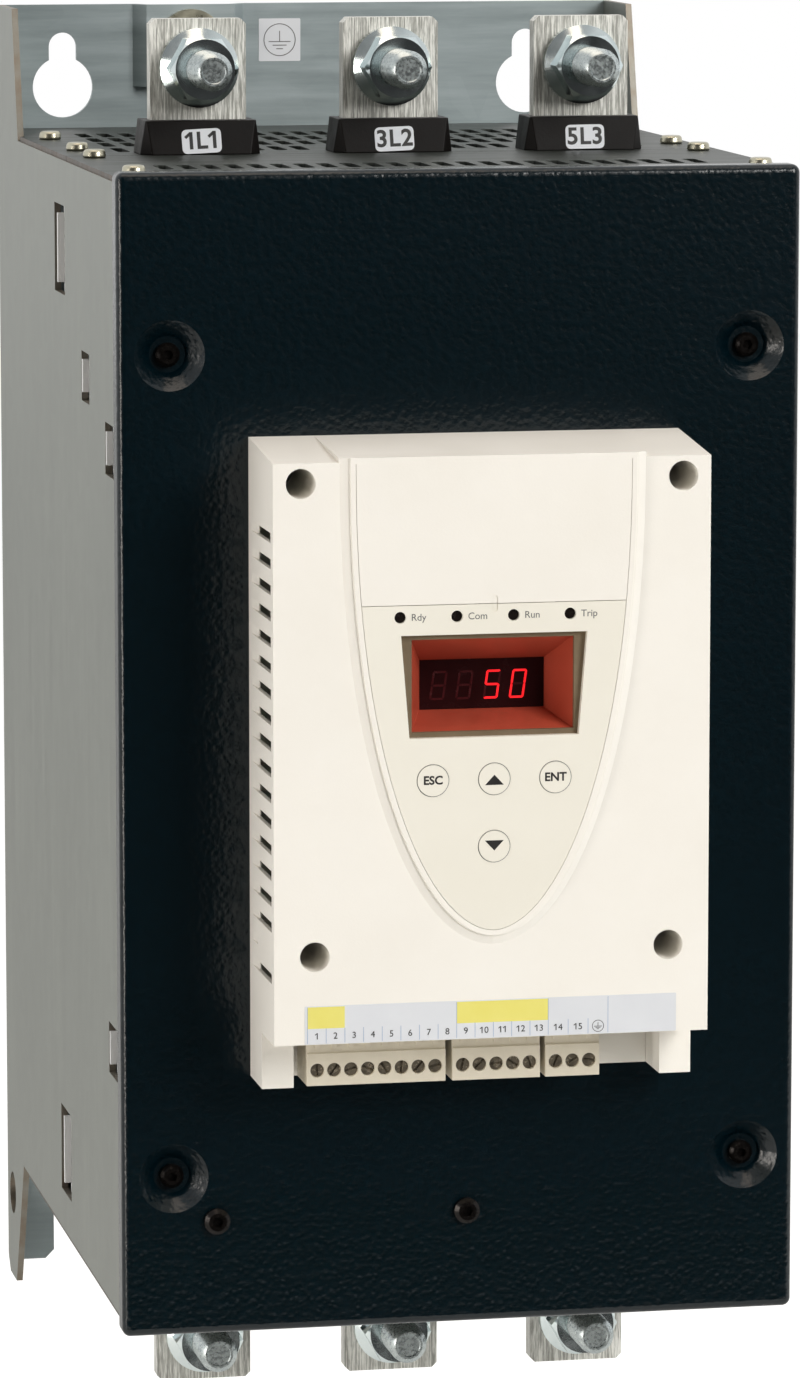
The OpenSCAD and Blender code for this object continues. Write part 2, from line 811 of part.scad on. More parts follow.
// Pan-head screw that points back, with its head on the face at depth d.
module front_screw(r, head, shank_r, shank, d) {
  difference() {
    union() {
      rod(0, 0, r, [d, d + head * 0.6]);
      cone(0, 0, r, r * 0.7, [d + head * 0.6, d + head]);
      rod(0, 0, shank_r, [d - shank, d + slack]);
    }
    hexagon(0, 0, r * 0.75, [d + head * 0.45, d + head + over]);
  }
}

module cover_screws() {
  color("#1a1512") {
    dimple_places() front_screw(3.6, 2.6, screw_r, 9, dimple_floor);
    for (x = flat_screw_x) translate([x, 0, flat_screw_z]) front_screw(3.9, 2.6, screw_r, 5, cover_depth);
  }
}

module cover_strip() {
  color("#2b2b2a") difference() {
    block(strip_x, [cover_back - strip_t, cover_back], strip_z);
    for (x = flat_screw_x)
      rod(x, flat_screw_z, screw_r + thread_room, [cover_back - strip_t - over, cover_back + over]);
  }
}

module earth_screw() {
  face = sheet_t + earth_rise;
  color("#c9b05c") translate([earth_x, 0, earth_level]) {
    rod(0, 0, earth_washer[0], [face, face + earth_washer[1]]);
    translate([0, -earth_washer[1], 0]) hexagon(0, 0, earth_head[0], [face - slack, face + earth_head[1]]);
    rod(0, 0, earth_r, [over, face + slack]);
  }
}

// Heat sink: an extrusion with a thick base, fins and two mounting rails.
module heat_sink() {
  root = sink_front - sink_base;
  color("#b9bcb8") difference() {
    upward(-sink_half_h, sink_half_h) {
      translate([-rail_x[1], root]) square([2 * rail_x[1], sink_base]);
      for (s = [-1, 1])
        translate([s > 0 ? rail_x[0] : -rail_x[1], sink_front - slack])
          square([rail_x[1] - rail_x[0], partition_depth - sink_front + slack]);
      for (i = [0 : fins - 1])
        translate([(i - (fins - 1) / 2) * fin_pitch - fin_t / 2, sink_rear])
          square([fin_t, root - sink_rear + slack]);
    }
    rail_screw_places()
      rod(0, 0, sink_screw_r + thread_room,
        [partition_front - rail_screw_len - over, partition_depth + over]);
    scr_screw_places() rod(0, 0, sink_screw_r + thread_room, [sink_front - sink_base + 2, sink_front + over]);
  }
}

module inner_screws() {
  color("#c9cbc6") {
    rail_screw_places() front_screw(4.6, 3.2, sink_screw_r, rail_screw_len, partition_front);
    scr_screw_places() front_screw(4.2, 3, sink_screw_r, scr_foot_h + 9, sink_front + scr_foot_h);
    for (i = [0 : 2], s = [-1, 1]) translate([phase_x(i), 0, scr_z + s * scr_pole_z]) {
      hexagon(0, 0, 10, [bar_depth, bar_depth + 4]);
      rod(0, 0, scr_pole_r, [bar_rear - scr_pole_sink, bar_depth + slack]);
    }
  }
}

// Thyristor module: a potted block with a low foot at each end.
module thyristor_module(i) {
  x = [phase_x(i) - scr_w / 2, phase_x(i) + scr_w / 2];
  z = [scr_z - scr_h / 2, scr_z + scr_h / 2];
  color("#2e2c2b") difference() {
    union() {
      block(x, [sink_front, sink_front + scr_foot_h], z);
      block(x, [sink_front, bar_rear], [z[0] + scr_foot, z[1] - scr_foot]);
    }
    scr_screw_places()
      rod(0, 0, sink_screw_r + 2 * slack, [sink_front - over, sink_front + scr_foot_h + over]);
    for (k = [-1, 1])
      rod(phase_x(i), scr_z + k * scr_pole_z, scr_pole_r + thread_room,
        [bar_rear - scr_pole_sink - 2, bar_rear + over]);
  }
}

// Flat busbar with clipped corners at its outer end.
module busbar(i, inner, outer, stud_z) {
  s = outer > inner ? 1 : -1;
  half = bar_w / 2;
  color("#b8b8b2") difference() {
    translate([phase_x(i), 0, 0]) forward(bar_rear, bar_depth) polygon([
      [-half, inner], [half, inner], [half, outer - s * bar_clip], [half - bar_clip, outer],
      [bar_clip - half, outer], [-half, outer - s * bar_clip]
    ]);
    rod(phase_x(i), stud_z, stud_r + screw_room, [bar_rear - over, bar_depth + over]);
    rod(phase_x(i), scr_z + s * scr_pole_z, scr_pole_r + screw_room, [bar_rear - over, bar_depth + over]);
  }
}

module line_busbar(i) busbar(i, line_low, line_end, line_stud_z);
module load_busbar(i) busbar(i, load_high, -load_end, load_stud_z);

module stud_places() {
  for (i = [0 : 2], z = [line_stud_z, load_stud_z]) translate([phase_x(i), 0, z]) children();
}

module power_studs() {
  thread_r = stud_r - thread_depth;
  tip = 1.6;
  nut_face = bar_depth + nut_h;
  groove = 1;
  end = bar_depth + stud_reach;
  color("#bfc6c4") stud_places() {
    hexagon(0, 0, nut_flats, [bar_rear - stud_head_h, bar_rear]);
    rod(0, 0, stud_r, [bar_rear - slack, nut_face + 2 * slack]);
    rod(0, 0, thread_r - groove, [nut_face + slack, nut_face + groove + slack]);
    rod(0, 0, thread_r, [nut_face + groove, end - tip]);
    cone(0, 0, thread_r, thread_r - tip, [end - tip, end]);
  }
}

module power_nuts() {
  flange_t = 3;
  slope_t = 2;
  color("#bfc6c4") stud_places() difference() {
    union() {
      rod(0, 0, nut_flange_d / 2, [bar_depth, bar_depth + flange_t]);
      cone(0, 0, nut_flange_d / 2, nut_flats / 2, [bar_depth + flange_t, bar_depth + flange_t + slope_t]);
      intersection() {
        hexagon(0, 0, nut_flats, [bar_depth + slack, bar_depth + nut_h]);
        cone(0, 0, nut_flats / 2 + nut_h, nut_flats / 2, [bar_depth, bar_depth + nut_h]);
      }
    }
    rod(0, 0, stud_r + thread_room, [bar_depth - over, bar_depth + nut_h + over]);
  }
}

module bar_insulators() {
  color("#d8d2c0") for (i = [0 : 2], z = [-1, 1])
    translate([phase_x(i), 0, z * insulator_z])
      block([-insulator_half[0], insulator_half[0]], [partition_front, bar_rear],
        [-insulator_half[1], insulator_half[1]]);
}

// Insulating boot round a busbar: it narrows outwards and has clipped corners.
module boot() {
  span = 60;
  half = (boot_side[0] + boot_front[0] - boot_clip) / sqrt(2);
  difference() {
    intersection() {
      rotate([90, 0, 0]) linear_extrude(span, center = true) boot_slope(boot_side);
      rotate([90, 0, 90]) linear_extrude(span, center = true) boot_slope(boot_front);
      rotate([0, 0, 45]) cube([2 * half, 2 * half, span], center = true);
    }
    cube([bar_w + slack, bar_t + slack, span], center = true);
  }
}

module boot_slope(half) {
  polygon([[-half[0], 0], [half[0], 0], [half[1], boot_h], [-half[1], boot_h]]);
}

module bar_shrouds() {
  color("#241d19") for (i = [0 : 2]) {
    translate([phase_x(i), -bar_middle, side_top + thin_t]) boot();
    translate([phase_x(i), -bar_middle, side_bottom - thin_t]) mirror([0, 0, 1]) boot();
  }
}

module current_transformers() {
  z = transformer_z;
  room = 2 * slack;
  color("#22344a") for (i = [0 : 2]) translate([phase_x(i), 0, 0]) difference() {
    block([-transformer_half_w, transformer_half_w],
      [partition_front, bar_depth + transformer_wall], z);
    block([-bar_w / 2 - room, bar_w / 2 + room], [bar_rear, bar_depth], [z[0] - over, z[1] + over]);
  }
}

// Axial fans below the heat sink.
module fan_frame(s) {
  half = fan_size / 2;
  top = fan_floor + fan_h;
  color("#1d1d1e") translate([s * fan_x, -fan_depth, 0]) difference() {
    union() {
      difference() {
        block([-half, half], [-half, half], [fan_floor, top]);
        post(0, 0, fan_bore_r, [fan_floor - over, top + over]);
      }
      post(0, 0, hub_r, [fan_floor, fan_floor + fan_plate]);
      for (a = [45, 135])
        translate([0, 0, fan_floor + fan_plate / 2]) rotate([0, 0, a])
          cube([2 * fan_bore_r + over, 5, fan_plate], center = true);
      post(0, 0, spindle_r, [fan_floor + fan_plate - slack, top - 2]);
    }
    for (a = [-1, 1], b = [-1, 1])
      post(a * fan_hole / 2, b * fan_hole / 2, screw_r + thread_room, [fan_floor - over, top + over]);
  }
}

module fan_rotor(s) {
  blades = 7;
  chord = 40;
  low = fan_floor + fan_plate + over;
  color("#26262a") translate([s * fan_x, -fan_depth, low]) difference() {
    union() {
      cylinder(r = hub_r - 1, h = rotor_h);
      intersection() {
        cylinder(r = rotor_r, h = rotor_h);
        for (k = [0 : blades - 1])
          rotate([0, 0, k * 360 / blades]) translate([hub_r + 9, 0, rotor_h / 2])
            rotate([38, 0, 0]) cube([24, 1.6, chord], center = true);
      }
    }
    translate([0, 0, -over]) cylinder(r = spindle_r + spindle_room, h = rotor_h + 2 * over);
  }
}

// Firing board with pulse transformers and snubber capacitors.
module board_standoffs() {
  color("#d6c27a") board_screw_places() difference() {
    hexagon(0, 0, standoff_flats, [bracket_front, firing_depth]);
    rod(0, 0, board_screw_r, [bracket_front - over, firing_depth + over]);
  }
}

module firing_board() {
  front = firing_depth + board_t;
  foot = front - slack;
  color("#2f5d3a") difference() {
    union() {
      block([-firing_half[0], firing_half[0]], [firing_depth, front], [-firing_half[1], firing_half[1]]);
      for (i = [0 : 2]) translate([phase_x(i), 0, 0]) {
        for (z = pulse_z) block([-pulse_half_w, pulse_half_w], [foot, front + pulse_h], z);
        for (x = [-capacitor_x, capacitor_x])
          block([x - capacitor_half_w, x + capacitor_half_w], [foot, front + capacitor_h], capacitor_z);
      }
      block([-socket_half_w, socket_half_w], [foot, front + socket_h], socket_z);
    }
    board_screw_places() rod(0, 0, board_screw_r, [firing_depth - over, front + over]);
  }
}

// Control module: housing, rear plate, keypad, display, board and terminals.
module shield_area(grow, drop = 0) {
  translate([0, shield_top + drop]) polygon(shield_outline(shield_half_w + grow, shield_h + grow));
}

module housing_outer() {
  sideways(-module_w / 2, module_w / 2) polygon([
    [cover_depth, foot_bottom], [foot_front, foot_bottom], [foot_front, front_bottom],
    [module_front, front_bottom], [module_front, front_top], [cover_depth, module_top]
  ]);
}

// One step of the frame, grown by g[0] at depth d[0] and by g[1] at depth d[1].
module frame_step(g, d) {
  narrow = [(shield_half_w + g[1]) / (shield_half_w + g[0]),
    (shield_h + shield_head + g[1]) / (shield_h + shield_head + g[0])];
  translate([0, -d[0], shield_top + shield_head]) rotate([90, 0, 0])
    linear_extrude(d[1] - d[0], scale = narrow, slices = 1, $fn = 0) polygon(frame_outline(g[0]));
}

module housing_shield() {
  a = shield_half_w + shield_foot;
  top = shield_top + shield_head;
  root = top - 10;
  crease = module_front + shield_cove;
  frame_step([shield_foot, shield_crease[0]], [module_front - slack, crease]);
  frame_step([shield_crease[1], shield_rim], [crease - slack, shield_depth]);
  sideways(-a, a)
    polygon([[cover_depth, module_top], [module_front, top], [module_front, root], [cover_depth, root]]);
}

module housing_cavity() {
  half = module_w / 2 - wall_t;
  sideways(-half, half) polygon([
    [cover_depth - over, lip_top], [wall_rear, lip_top],
    [wall_rear, cavity_top(wall_rear)], [cover_depth - over, cavity_top(cover_depth - over)]
  ]);
  block([-bay_half_w, bay_half_w], [cover_depth - over, bay_depth], [foot_bottom - over, lip_top + over]);
  block([port_x[0] - 0.5, port_x[1] + 0.5], [bay_depth - over, board_front + port_depth + over],
    [front_bottom - over, lip_top + over]);
}

module housing_vent(k) {
  z = vent_first - k * vent_step;
  face = module_w / 2;
  dish_floor = face - vent_dish;
  upward(z - vent_h / 2, z + vent_h / 2) polygon([
    [face + slack, dish_depths[0]], [face + slack, dish_depths[1] + over],
    [dish_floor, dish_depths[1] + over], [dish_floor, dish_depths[1]]
  ]);
  if (k != blind_vent)
    block([face - wall_t - over, face + over], vent_depths, [z - vent_h / 2, z + vent_h / 2]);
}

// The wall is thinner round the vents.
module vent_pocket() {
  face = module_w / 2;
  low = vent_first - (vent_slots - 1) * vent_step - vent_h / 2;
  block([face - wall_t - over, face - vent_wall], [dish_depths[0] - vent_margin, vent_depths[1] + vent_margin],
    [low - vent_margin, vent_first + vent_h / 2 + vent_margin]);
}

module well_places() {
  for (s = [-1, 1], k = [0, 1]) translate([s * well_x[k], 0, well_z[k]]) children();
}

module key_places() {
  for (p = key_spots) translate([p[0], 0, p[1]]) children();
}

module lamp_places() {
  for (i = [0 : 3]) translate([lamp_shift + (i - 1.5) * lamp_pitch, 0, lamp_z]) children();
}

module module_housing() {
  color("#f1ede2") translate([module_x, 0, 0]) difference() {
    union() {
      difference() {
        union() {
          housing_outer();
          housing_shield();
        }
        housing_cavity();
      }
      well_places() rod(0, 0, pillar_r, [base_front, module_front - slack]);
    }
    well_places() rod(0, 0, well_r, [well_floor, module_front + over]);
    well_places() rod(0, 0, screw_r + screw_room, [base_front - over, well_floor + over]);
    forward(module_front, shield_depth + over) shield_area(0);
    for (m = [0, 1]) mirror([m, 0, 0]) {
      vent_pocket();
      for (k = [0 : vent_slots - 1]) housing_vent(k);
    }
    block([-bezel_half[0] - slack, bezel_half[0] + slack], [wall_rear - over, module_front + over],
      [display_z - bezel_half[1] - slack, display_z + bezel_half[1] + slack]);
    key_places() rod(0, 0, collar_r + 0.8, [wall_rear - over, module_front + over]);
    lamp_places() rod(0, 0, lamp_r + 2 * slack, [wall_rear - over, module_front + over]);
  }
}

module module_base() {
  half = module_w / 2 - wall_t - slack;
  color("#eae5d8") translate([module_x, 0, 0]) difference() {
    union() {
      block([-half, half], [cover_depth, base_front], [lip_top + 2 * slack, cavity_top(base_front) - slack]);
      block([-bay_half_w + slack, bay_half_w - slack], [cover_depth, base_front],
        [foot_bottom, lip_top + over]);
      for (s = [-1, 1], z = board_post_z)
        rod(s * board_post[0], z, board_post[1], [base_front - slack, board_depth]);
    }
    well_places() rod(0, 0, screw_r + screw_room, [cover_depth - over, base_front + over]);
    block([-cable_half_w, cable_half_w], [cover_depth - over, base_front + over], cable_z);
  }
}

module module_screws() {
  shank = well_floor - carrier_depth - 3;
  color("#c9cbc6") module_screw_places() front_screw(3.6, 2.6, screw_r, shank, well_floor);
}

module split_notch() {
  forward(shield_depth - notch_t, shield_depth + over) translate([0, shield_split]) {
    square([2, 3], center = true);
    for (s = [-1, 1]) translate([0, s * 1.5]) circle(r = 1);
  }
}

module upper_plate() {
  color("#f4f0e6") translate([module_x, 0, 0]) difference() {
    forward(module_front, shield_depth) difference() {
      shield_area(-shield_room);
      translate([-module_w, shield_split - 2 * module_w + slack]) square(2 * module_w);
    }
    split_notch();
  }
}

module window_outline() {
  translate([0, display_z]) polygon([
    [-window_low_half, -window_half_h], [window_low_half, -window_half_h],
    [window_top_half, window_half_h], [-window_top_half, window_half_h]
  ]);
}

module keypad_plate() {
  color("#f2eee3") translate([module_x, 0, 0]) difference() {
    forward(module_front, shield_depth) difference() {
      shield_area(-shield_room);
      translate([-module_w, shield_split - slack]) square(2 * module_w);
      window_outline();
    }
    split_notch();
    key_places() rod(0, 0, key_r + key_room, [module_front - over, shield_depth + over]);
    lamp_places() rod(0, 0, lamp_r + slack, [module_front - over, shield_depth + over]);
  }
}

module display_bezel() {
  color("#77674f") translate([module_x, 0, 0]) forward(bezel_back, module_front) difference() {
    translate([0, display_z]) square(2 * bezel_half, center = true);
    translate([0, display_z]) square(2 * lens_half, center = true);
  }
}

// A rectangular funnel: the meeting of two wedges.
module funnel_hollow(d) {
  reach = 40;
  intersection() {
    upward(display_z - reach, display_z + reach) polygon([
      [-digit_half[0], d[0]], [digit_half[0], d[0]], [lens_half[0], d[1]], [-lens_half[0], d[1]]
    ]);
    sideways(-reach, reach) polygon([
      [d[0], digit_z - digit_half[1]], [d[0], digit_z + digit_half[1]],
      [d[1], display_z + lens_half[1]], [d[1], display_z - lens_half[1]]
    ]);
  }
}

module display_funnel() {
  color("#8c2a1a") translate([module_x, 0, 0]) difference() {
    block([-funnel_half[0], funnel_half[0]], [digit_depth - over, bezel_back],
      [display_z - funnel_half[1], display_z + funnel_half[1]]);
    funnel_hollow([digit_depth, bezel_back + slack]);
    block([-digit_half[0], digit_half[0]], [digit_depth - 2 * over, digit_depth + slack],
      [digit_z - digit_half[1], digit_z + digit_half[1]]);
  }
}

module display_unit() {
  color("#1c0b0d") translate([module_x, 0, 0]) {
    block([-digit_half[0] - 2, digit_half[0] + 2], [board_front, digit_depth - over],
      [digit_z - digit_half[1] - digit_edge, digit_z + digit_half[1] + digit_edge]);
    block([-digit_half[0] + slack, digit_half[0] - slack], [digit_depth - over - slack, digit_depth],
      [digit_z - digit_half[1] + slack, digit_z + digit_half[1] - slack]);
  }
}

module lamp_lenses() {
  color("#1b1612") translate([module_x, 0, 0]) lamp_places() {
    rod(0, 0, lamp_r, [board_front, shield_depth - 0.8]);
  }
}

// A round key with a collar behind the keypad plate and a stem to its switch.
module key_button(i) {
  back = collar_depth - collar_t;
  color("#efebe0") translate([module_x + key_spots[i][0], 0, key_spots[i][1]]) {
    rod(0, 0, key_r, [collar_depth - slack, shield_depth + key_proud]);
    rod(0, 0, collar_r, [back, collar_depth]);
    rod(0, 0, stem_r, [switch_top + key_travel + slack, back + slack]);
  }
}

module key_escape() key_button(0);
module key_up() key_button(1);
module key_enter() key_button(2);
module key_down() key_button(3);

module control_board() {
  color("#2f6a3e") translate([module_x, 0, 0]) difference() {
    union() {
      block([-board_half_w, board_half_w], [board_depth, board_front], [board_low, board_top]);
      key_places() {
        block([-switch_half_w, switch_half_w], [board_front - slack, switch_top - over],
          [-switch_half_w, switch_half_w]);
        rod(0, 0, stem_r + slack, [switch_top - over - slack, switch_top]);
      }
      for (x = relay_x)
        block([x - relay_half_w, x + relay_half_w], [board_front - slack, board_front + relay_h], relay_z);
      block(supply_x, [board_front - slack, board_front + supply_h], supply_z);
    }
    for (s = [-1, 1])
      rod(s * well_x[1], well_z[1], pillar_r + 0.6, [board_depth - over, board_front + relay_h + over]);
  }
}

module serial_port() {
  wall = 2;
  color("#2a2a2c") translate([module_x, 0, 0]) difference() {
    block(port_x, [board_front, board_front + port_depth], [board_low, board_low + port_depth]);
    block([port_x[0] + wall, port_x[1] - wall], [board_front + wall, board_front + port_depth - wall],
      [board_low - over, board_low + port_depth - wall]);
  }
}

module terminal_headers() {
  inset = 0.6;
  color("#dcd6c6") for (i = [0 : 2]) {
    half = plug_w(i) / 2;
    key = half - tongue_inset;
    translate([module_x + plug_x[i], 0, 0]) {
      block([-half, half], [plug_rear + inset, plug_front - inset], [plug_top, board_low]);
      block([-key, key], tongue, [plug_top - tongue_h, plug_top + slack]);
    }
    for (k = [0 : pole_counts[i] - 1]) translate([module_x + pole_x(i, k), 0, 0])
      block([-0.8, 0.8], [plug_front - inset - slack, plug_front], [plug_top + 1.5, front_bottom + 1]);
  }
}

module terminal_plug(i) {
  half = plug_w(i) / 2;
  key = half - tongue_inset + slack;
  color("#e6e1d2") translate([module_x, 0, 0]) difference() {
    translate([plug_x[i], 0, 0]) block([-half, half], [plug_rear, plug_front], [plug_bottom, plug_top]);
    translate([plug_x[i], 0, 0])
      block([-key, key], [tongue[0] - slack, tongue[1] + slack],
        [plug_top - tongue_h - slack, plug_top + over]);
    for (k = [0 : pole_counts[i] - 1]) translate([pole_x(i, k), 0, 0]) {
      rod(0, clamp_z, clamp_r + slack, [plug_front - clamp_len, plug_front + over]);
      block([-1.7, 1.7], [plug_rear + 1.5, plug_rear + 5.5], [plug_bottom - over, plug_bottom + 4]);
    }
  }
}

module terminal_plug_8() terminal_plug(0);
module terminal_plug_5() terminal_plug(1);
module terminal_plug_3() terminal_plug(2);

// Slotted clamp screws; each stands at its own angle.
module plug_screws(i) {
  face = plug_front - clamp_sink;
  color("#8d8478") for (k = [0 : pole_counts[i] - 1])
    translate([module_x + pole_x(i, k), 0, clamp_z]) difference() {
      rod(0, 0, clamp_r, [plug_front - clamp_len, face]);
      translate([0, -face, 0]) rotate([0, 37 * k + 11 * i, 0]) cube([0.7, 1.6, 5], center = true);
    }
}

module plug_screws_8() plug_screws(0);
module plug_screws_5() plug_screws(1);
module plug_screws_3() plug_screws(2);

chassis();
chassis_wall_left();
chassis_wall_right();
rear_top_grille();
front_top_plate();
rear_bottom_grille();
front_bottom_plate();
plate_screws();
partition();
board_bracket();
front_carrier();
carrier_pillars();
front_cover();
cover_screws();
cover_strip();
earth_screw();
heat_sink();
inner_screws();
thyristor_module(0);  // thyristor_module_1
thyristor_module(1);  // thyristor_module_2
thyristor_module(2);  // thyristor_module_3
line_busbar(0);  // line_busbar_1
line_busbar(1);  // line_busbar_2
line_busbar(2);  // line_busbar_3
load_busbar(0);  // load_busbar_1
load_busbar(1);  // load_busbar_2
load_busbar(2);  // load_busbar_3
power_studs();
power_nuts();
bar_insulators();
bar_shrouds();
current_transformers();
fan_frame(-1);  // fan_frame_left
fan_frame(1);  // fan_frame_right
fan_rotor(-1);  // fan_rotor_left
fan_rotor(1);  // fan_rotor_right
firing_board();
board_standoffs();
module_housing();
module_base();
module_screws();
upper_plate();
keypad_plate();
display_bezel();
display_funnel();
display_unit();
lamp_lenses();
key_escape();
key_up();
key_enter();
key_down();
control_board();
serial_port();
terminal_headers();
terminal_plug_8();
terminal_plug_5();
terminal_plug_3();
plug_screws_8();
plug_screws_5();
plug_screws_3();
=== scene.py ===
import bpy
import math
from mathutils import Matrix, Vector


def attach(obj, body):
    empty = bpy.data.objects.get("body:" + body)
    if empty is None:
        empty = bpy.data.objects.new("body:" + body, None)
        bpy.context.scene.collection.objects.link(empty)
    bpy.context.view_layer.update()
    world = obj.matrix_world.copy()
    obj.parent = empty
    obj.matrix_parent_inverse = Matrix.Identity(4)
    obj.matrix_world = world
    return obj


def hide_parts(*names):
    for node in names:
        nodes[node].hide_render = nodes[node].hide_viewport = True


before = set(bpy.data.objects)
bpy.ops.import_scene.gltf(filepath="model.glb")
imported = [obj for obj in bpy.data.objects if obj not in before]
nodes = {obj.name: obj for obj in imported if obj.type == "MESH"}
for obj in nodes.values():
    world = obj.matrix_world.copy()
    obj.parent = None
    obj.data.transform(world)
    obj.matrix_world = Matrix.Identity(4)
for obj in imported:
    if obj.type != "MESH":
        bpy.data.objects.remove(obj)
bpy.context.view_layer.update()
scene = bpy.context.scene
scene.view_settings.view_transform = "Standard"
print("frame loaded:", len(nodes), "nodes")


def mm(value):
    return value / 1000.0


# an sRGB hex value as a linear colour with alpha 1
def linear(code):
    channels = [int(code[i:i + 2], 16) / 255 for i in (1, 3, 5)]
    return [c / 12.92 if c <= 0.04045 else ((c + 0.055) / 1.055) ** 2.4 for c in channels] + [1.0]


# one node with its settings and links; a whole number picks a socket by its place
def addNode(tree, kind, settings=None, links=None):
    node = tree.nodes.new(kind)
    for key, value in (settings or {}).items():
        if isinstance(key, int) or key in node.inputs:
            node.inputs[key].default_value = value
        else:
            setattr(node, key, value)
    for key, source in (links or {}).items():
        tree.links.new(source, node.inputs[key])
    return node


# camera

cameraView = {
    "place": (-0.38652, -2.11525, 0.2951),
    "yaw": 11.19,       # degrees to the right
    "pitch": 8.28,      # degrees down
    "focalPixels": 6445.56,
    "longSide": 1378,
    "sensor": 36.0,
    "clipEnd": 50,
}


def placeCamera(view):
    data = bpy.data.cameras.new("photoCamera")
    data.sensor_width = view["sensor"]
    data.lens = view["focalPixels"] * view["sensor"] / view["longSide"]
    data.clip_end = view["clipEnd"]
    camera = bpy.data.objects.new("photoCamera", data)
    scene.collection.objects.link(camera)
    camera.location = view["place"]
    camera.rotation_euler = (math.radians(90 - view["pitch"]), 0, math.radians(-view["yaw"]))
    scene.camera = camera


placeCamera(cameraView)


# studio

studio = {
    "floorZ": -0.46, "floorY": 2.55, "floorSize": 7.0,
    "floorColour": "#f3f3f1", "floorRough": 0.9, "floorGlow": 0.45,
    "worldBack": 0.78, "worldFront": 0.04, "worldTurn": (-0.75, 0.1),     # front to back, along Y
    # name: (place, aim, size, watts, colour)
    "lamps": {
        "frontRight": ((1.25, -2.1, 1.15), (0.0, -0.25, 0.02), (1.0, 1.3), 50, "#fffdfa"),
        "leftStrip": ((-1.6, -1.0, -0.1), (-0.1, -0.2, -0.02), (0.3, 1.3), 12, "#fff8f0"),
        "overhead": ((-0.2, -0.5, 1.9), (0.0, -0.15, 0.0), (1.4, 1.0), 7, "#ffe9d2"),
    },
}


def lightStudio(spec):
    for name, (place, aim, size, watts, colour) in spec["lamps"].items():
        data = bpy.data.lights.new(name, "AREA")
        data.shape = "RECTANGLE"
        data.size, data.size_y = size
        data.energy = watts
        data.color = linear(colour)[:3]
        lamp = bpy.data.objects.new(name, data)
        scene.collection.objects.link(lamp)
        lamp.location = place
        lamp.rotation_euler = (Vector(aim) - Vector(place)).to_track_quat("-Z", "Y").to_euler()

    world = bpy.data.worlds.new("studioWorld")
    scene.world = world
    world.use_nodes = True
    tree = world.node_tree
    tree.nodes.clear()
    way = addNode(tree, "ShaderNodeTexCoord")
    axes = addNode(tree, "ShaderNodeSeparateXYZ", links={0: way.outputs["Generated"]})
    # bright behind the object, dim behind the camera
    turnStart, turnEnd = spec["worldTurn"]
    behind = addNode(tree, "ShaderNodeMapRange", {
        "interpolation_type": "SMOOTHSTEP", "From Min": turnStart, "From Max": turnEnd}, {
        "Value": axes.outputs["Y"]})
    light = addNode(tree, "ShaderNodeMix", {
        "data_type": "FLOAT", 2: spec["worldFront"], 3: spec["worldBack"]}, {0: behind.outputs["Result"]})
    # white to the camera and through glass, and in metal that mirrors what is behind the object
    path = addNode(tree, "ShaderNodeLightPath")
    mirrored = addNode(tree, "ShaderNodeMath", {"operation": "MULTIPLY"}, {
        0: path.outputs["Is Glossy Ray"], 1: behind.outputs["Result"]})
    clear = addNode(tree, "ShaderNodeMath", {"operation": "MAXIMUM"}, {
        0: path.outputs["Is Camera Ray"], 1: path.outputs["Is Transmission Ray"]})
    seen = addNode(tree, "ShaderNodeMath", {"operation": "MAXIMUM"}, {
        0: clear.outputs[0], 1: mirrored.outputs[0]})
    level = addNode(tree, "ShaderNodeMix", {"data_type": "FLOAT", 3: 1.0}, {
        0: seen.outputs[0], 2: light.outputs[0]})
    sky = addNode(tree, "ShaderNodeBackground", {"Color": (1, 1, 1, 1)}, {"Strength": level.outputs[0]})
    addNode(tree, "ShaderNodeOutputWorld", links={"Surface": sky.outputs[0]})

    bpy.ops.object.select_all(action="DESELECT")
    bpy.ops.mesh.primitive_plane_add(size=spec["floorSize"], location=(0, spec["floorY"], spec["floorZ"]))
    floor = bpy.context.object
    floor.name = "studioFloor"
    paper = bpy.data.materials.new("floorPaper")
    paper.use_nodes = True
    tree = paper.node_tree
    skin = tree.nodes["Principled BSDF"]
    skin.inputs["Base Color"].default_value = linear(spec["floorColour"])
    skin.inputs["Roughness"].default_value = spec["floorRough"]
    skin.inputs["Emission Color"].default_value = (1, 1, 1, 1)
    path = addNode(tree, "ShaderNodeLightPath")
    glow = addNode(tree, "ShaderNodeMath", {"operation": "MULTIPLY", 1: spec["floorGlow"]}, {
        0: path.outputs["Is Camera Ray"]})
    tree.links.new(glow.outputs[0], skin.inputs["Emission Strength"])
    floor.data.materials.append(paper)


lightStudio(studio)
print("camera and studio placed")


# finishes

noiseSpread = (0.3, 0.7)    # most values of a noise lie in this range
plainSpecular = 0.5

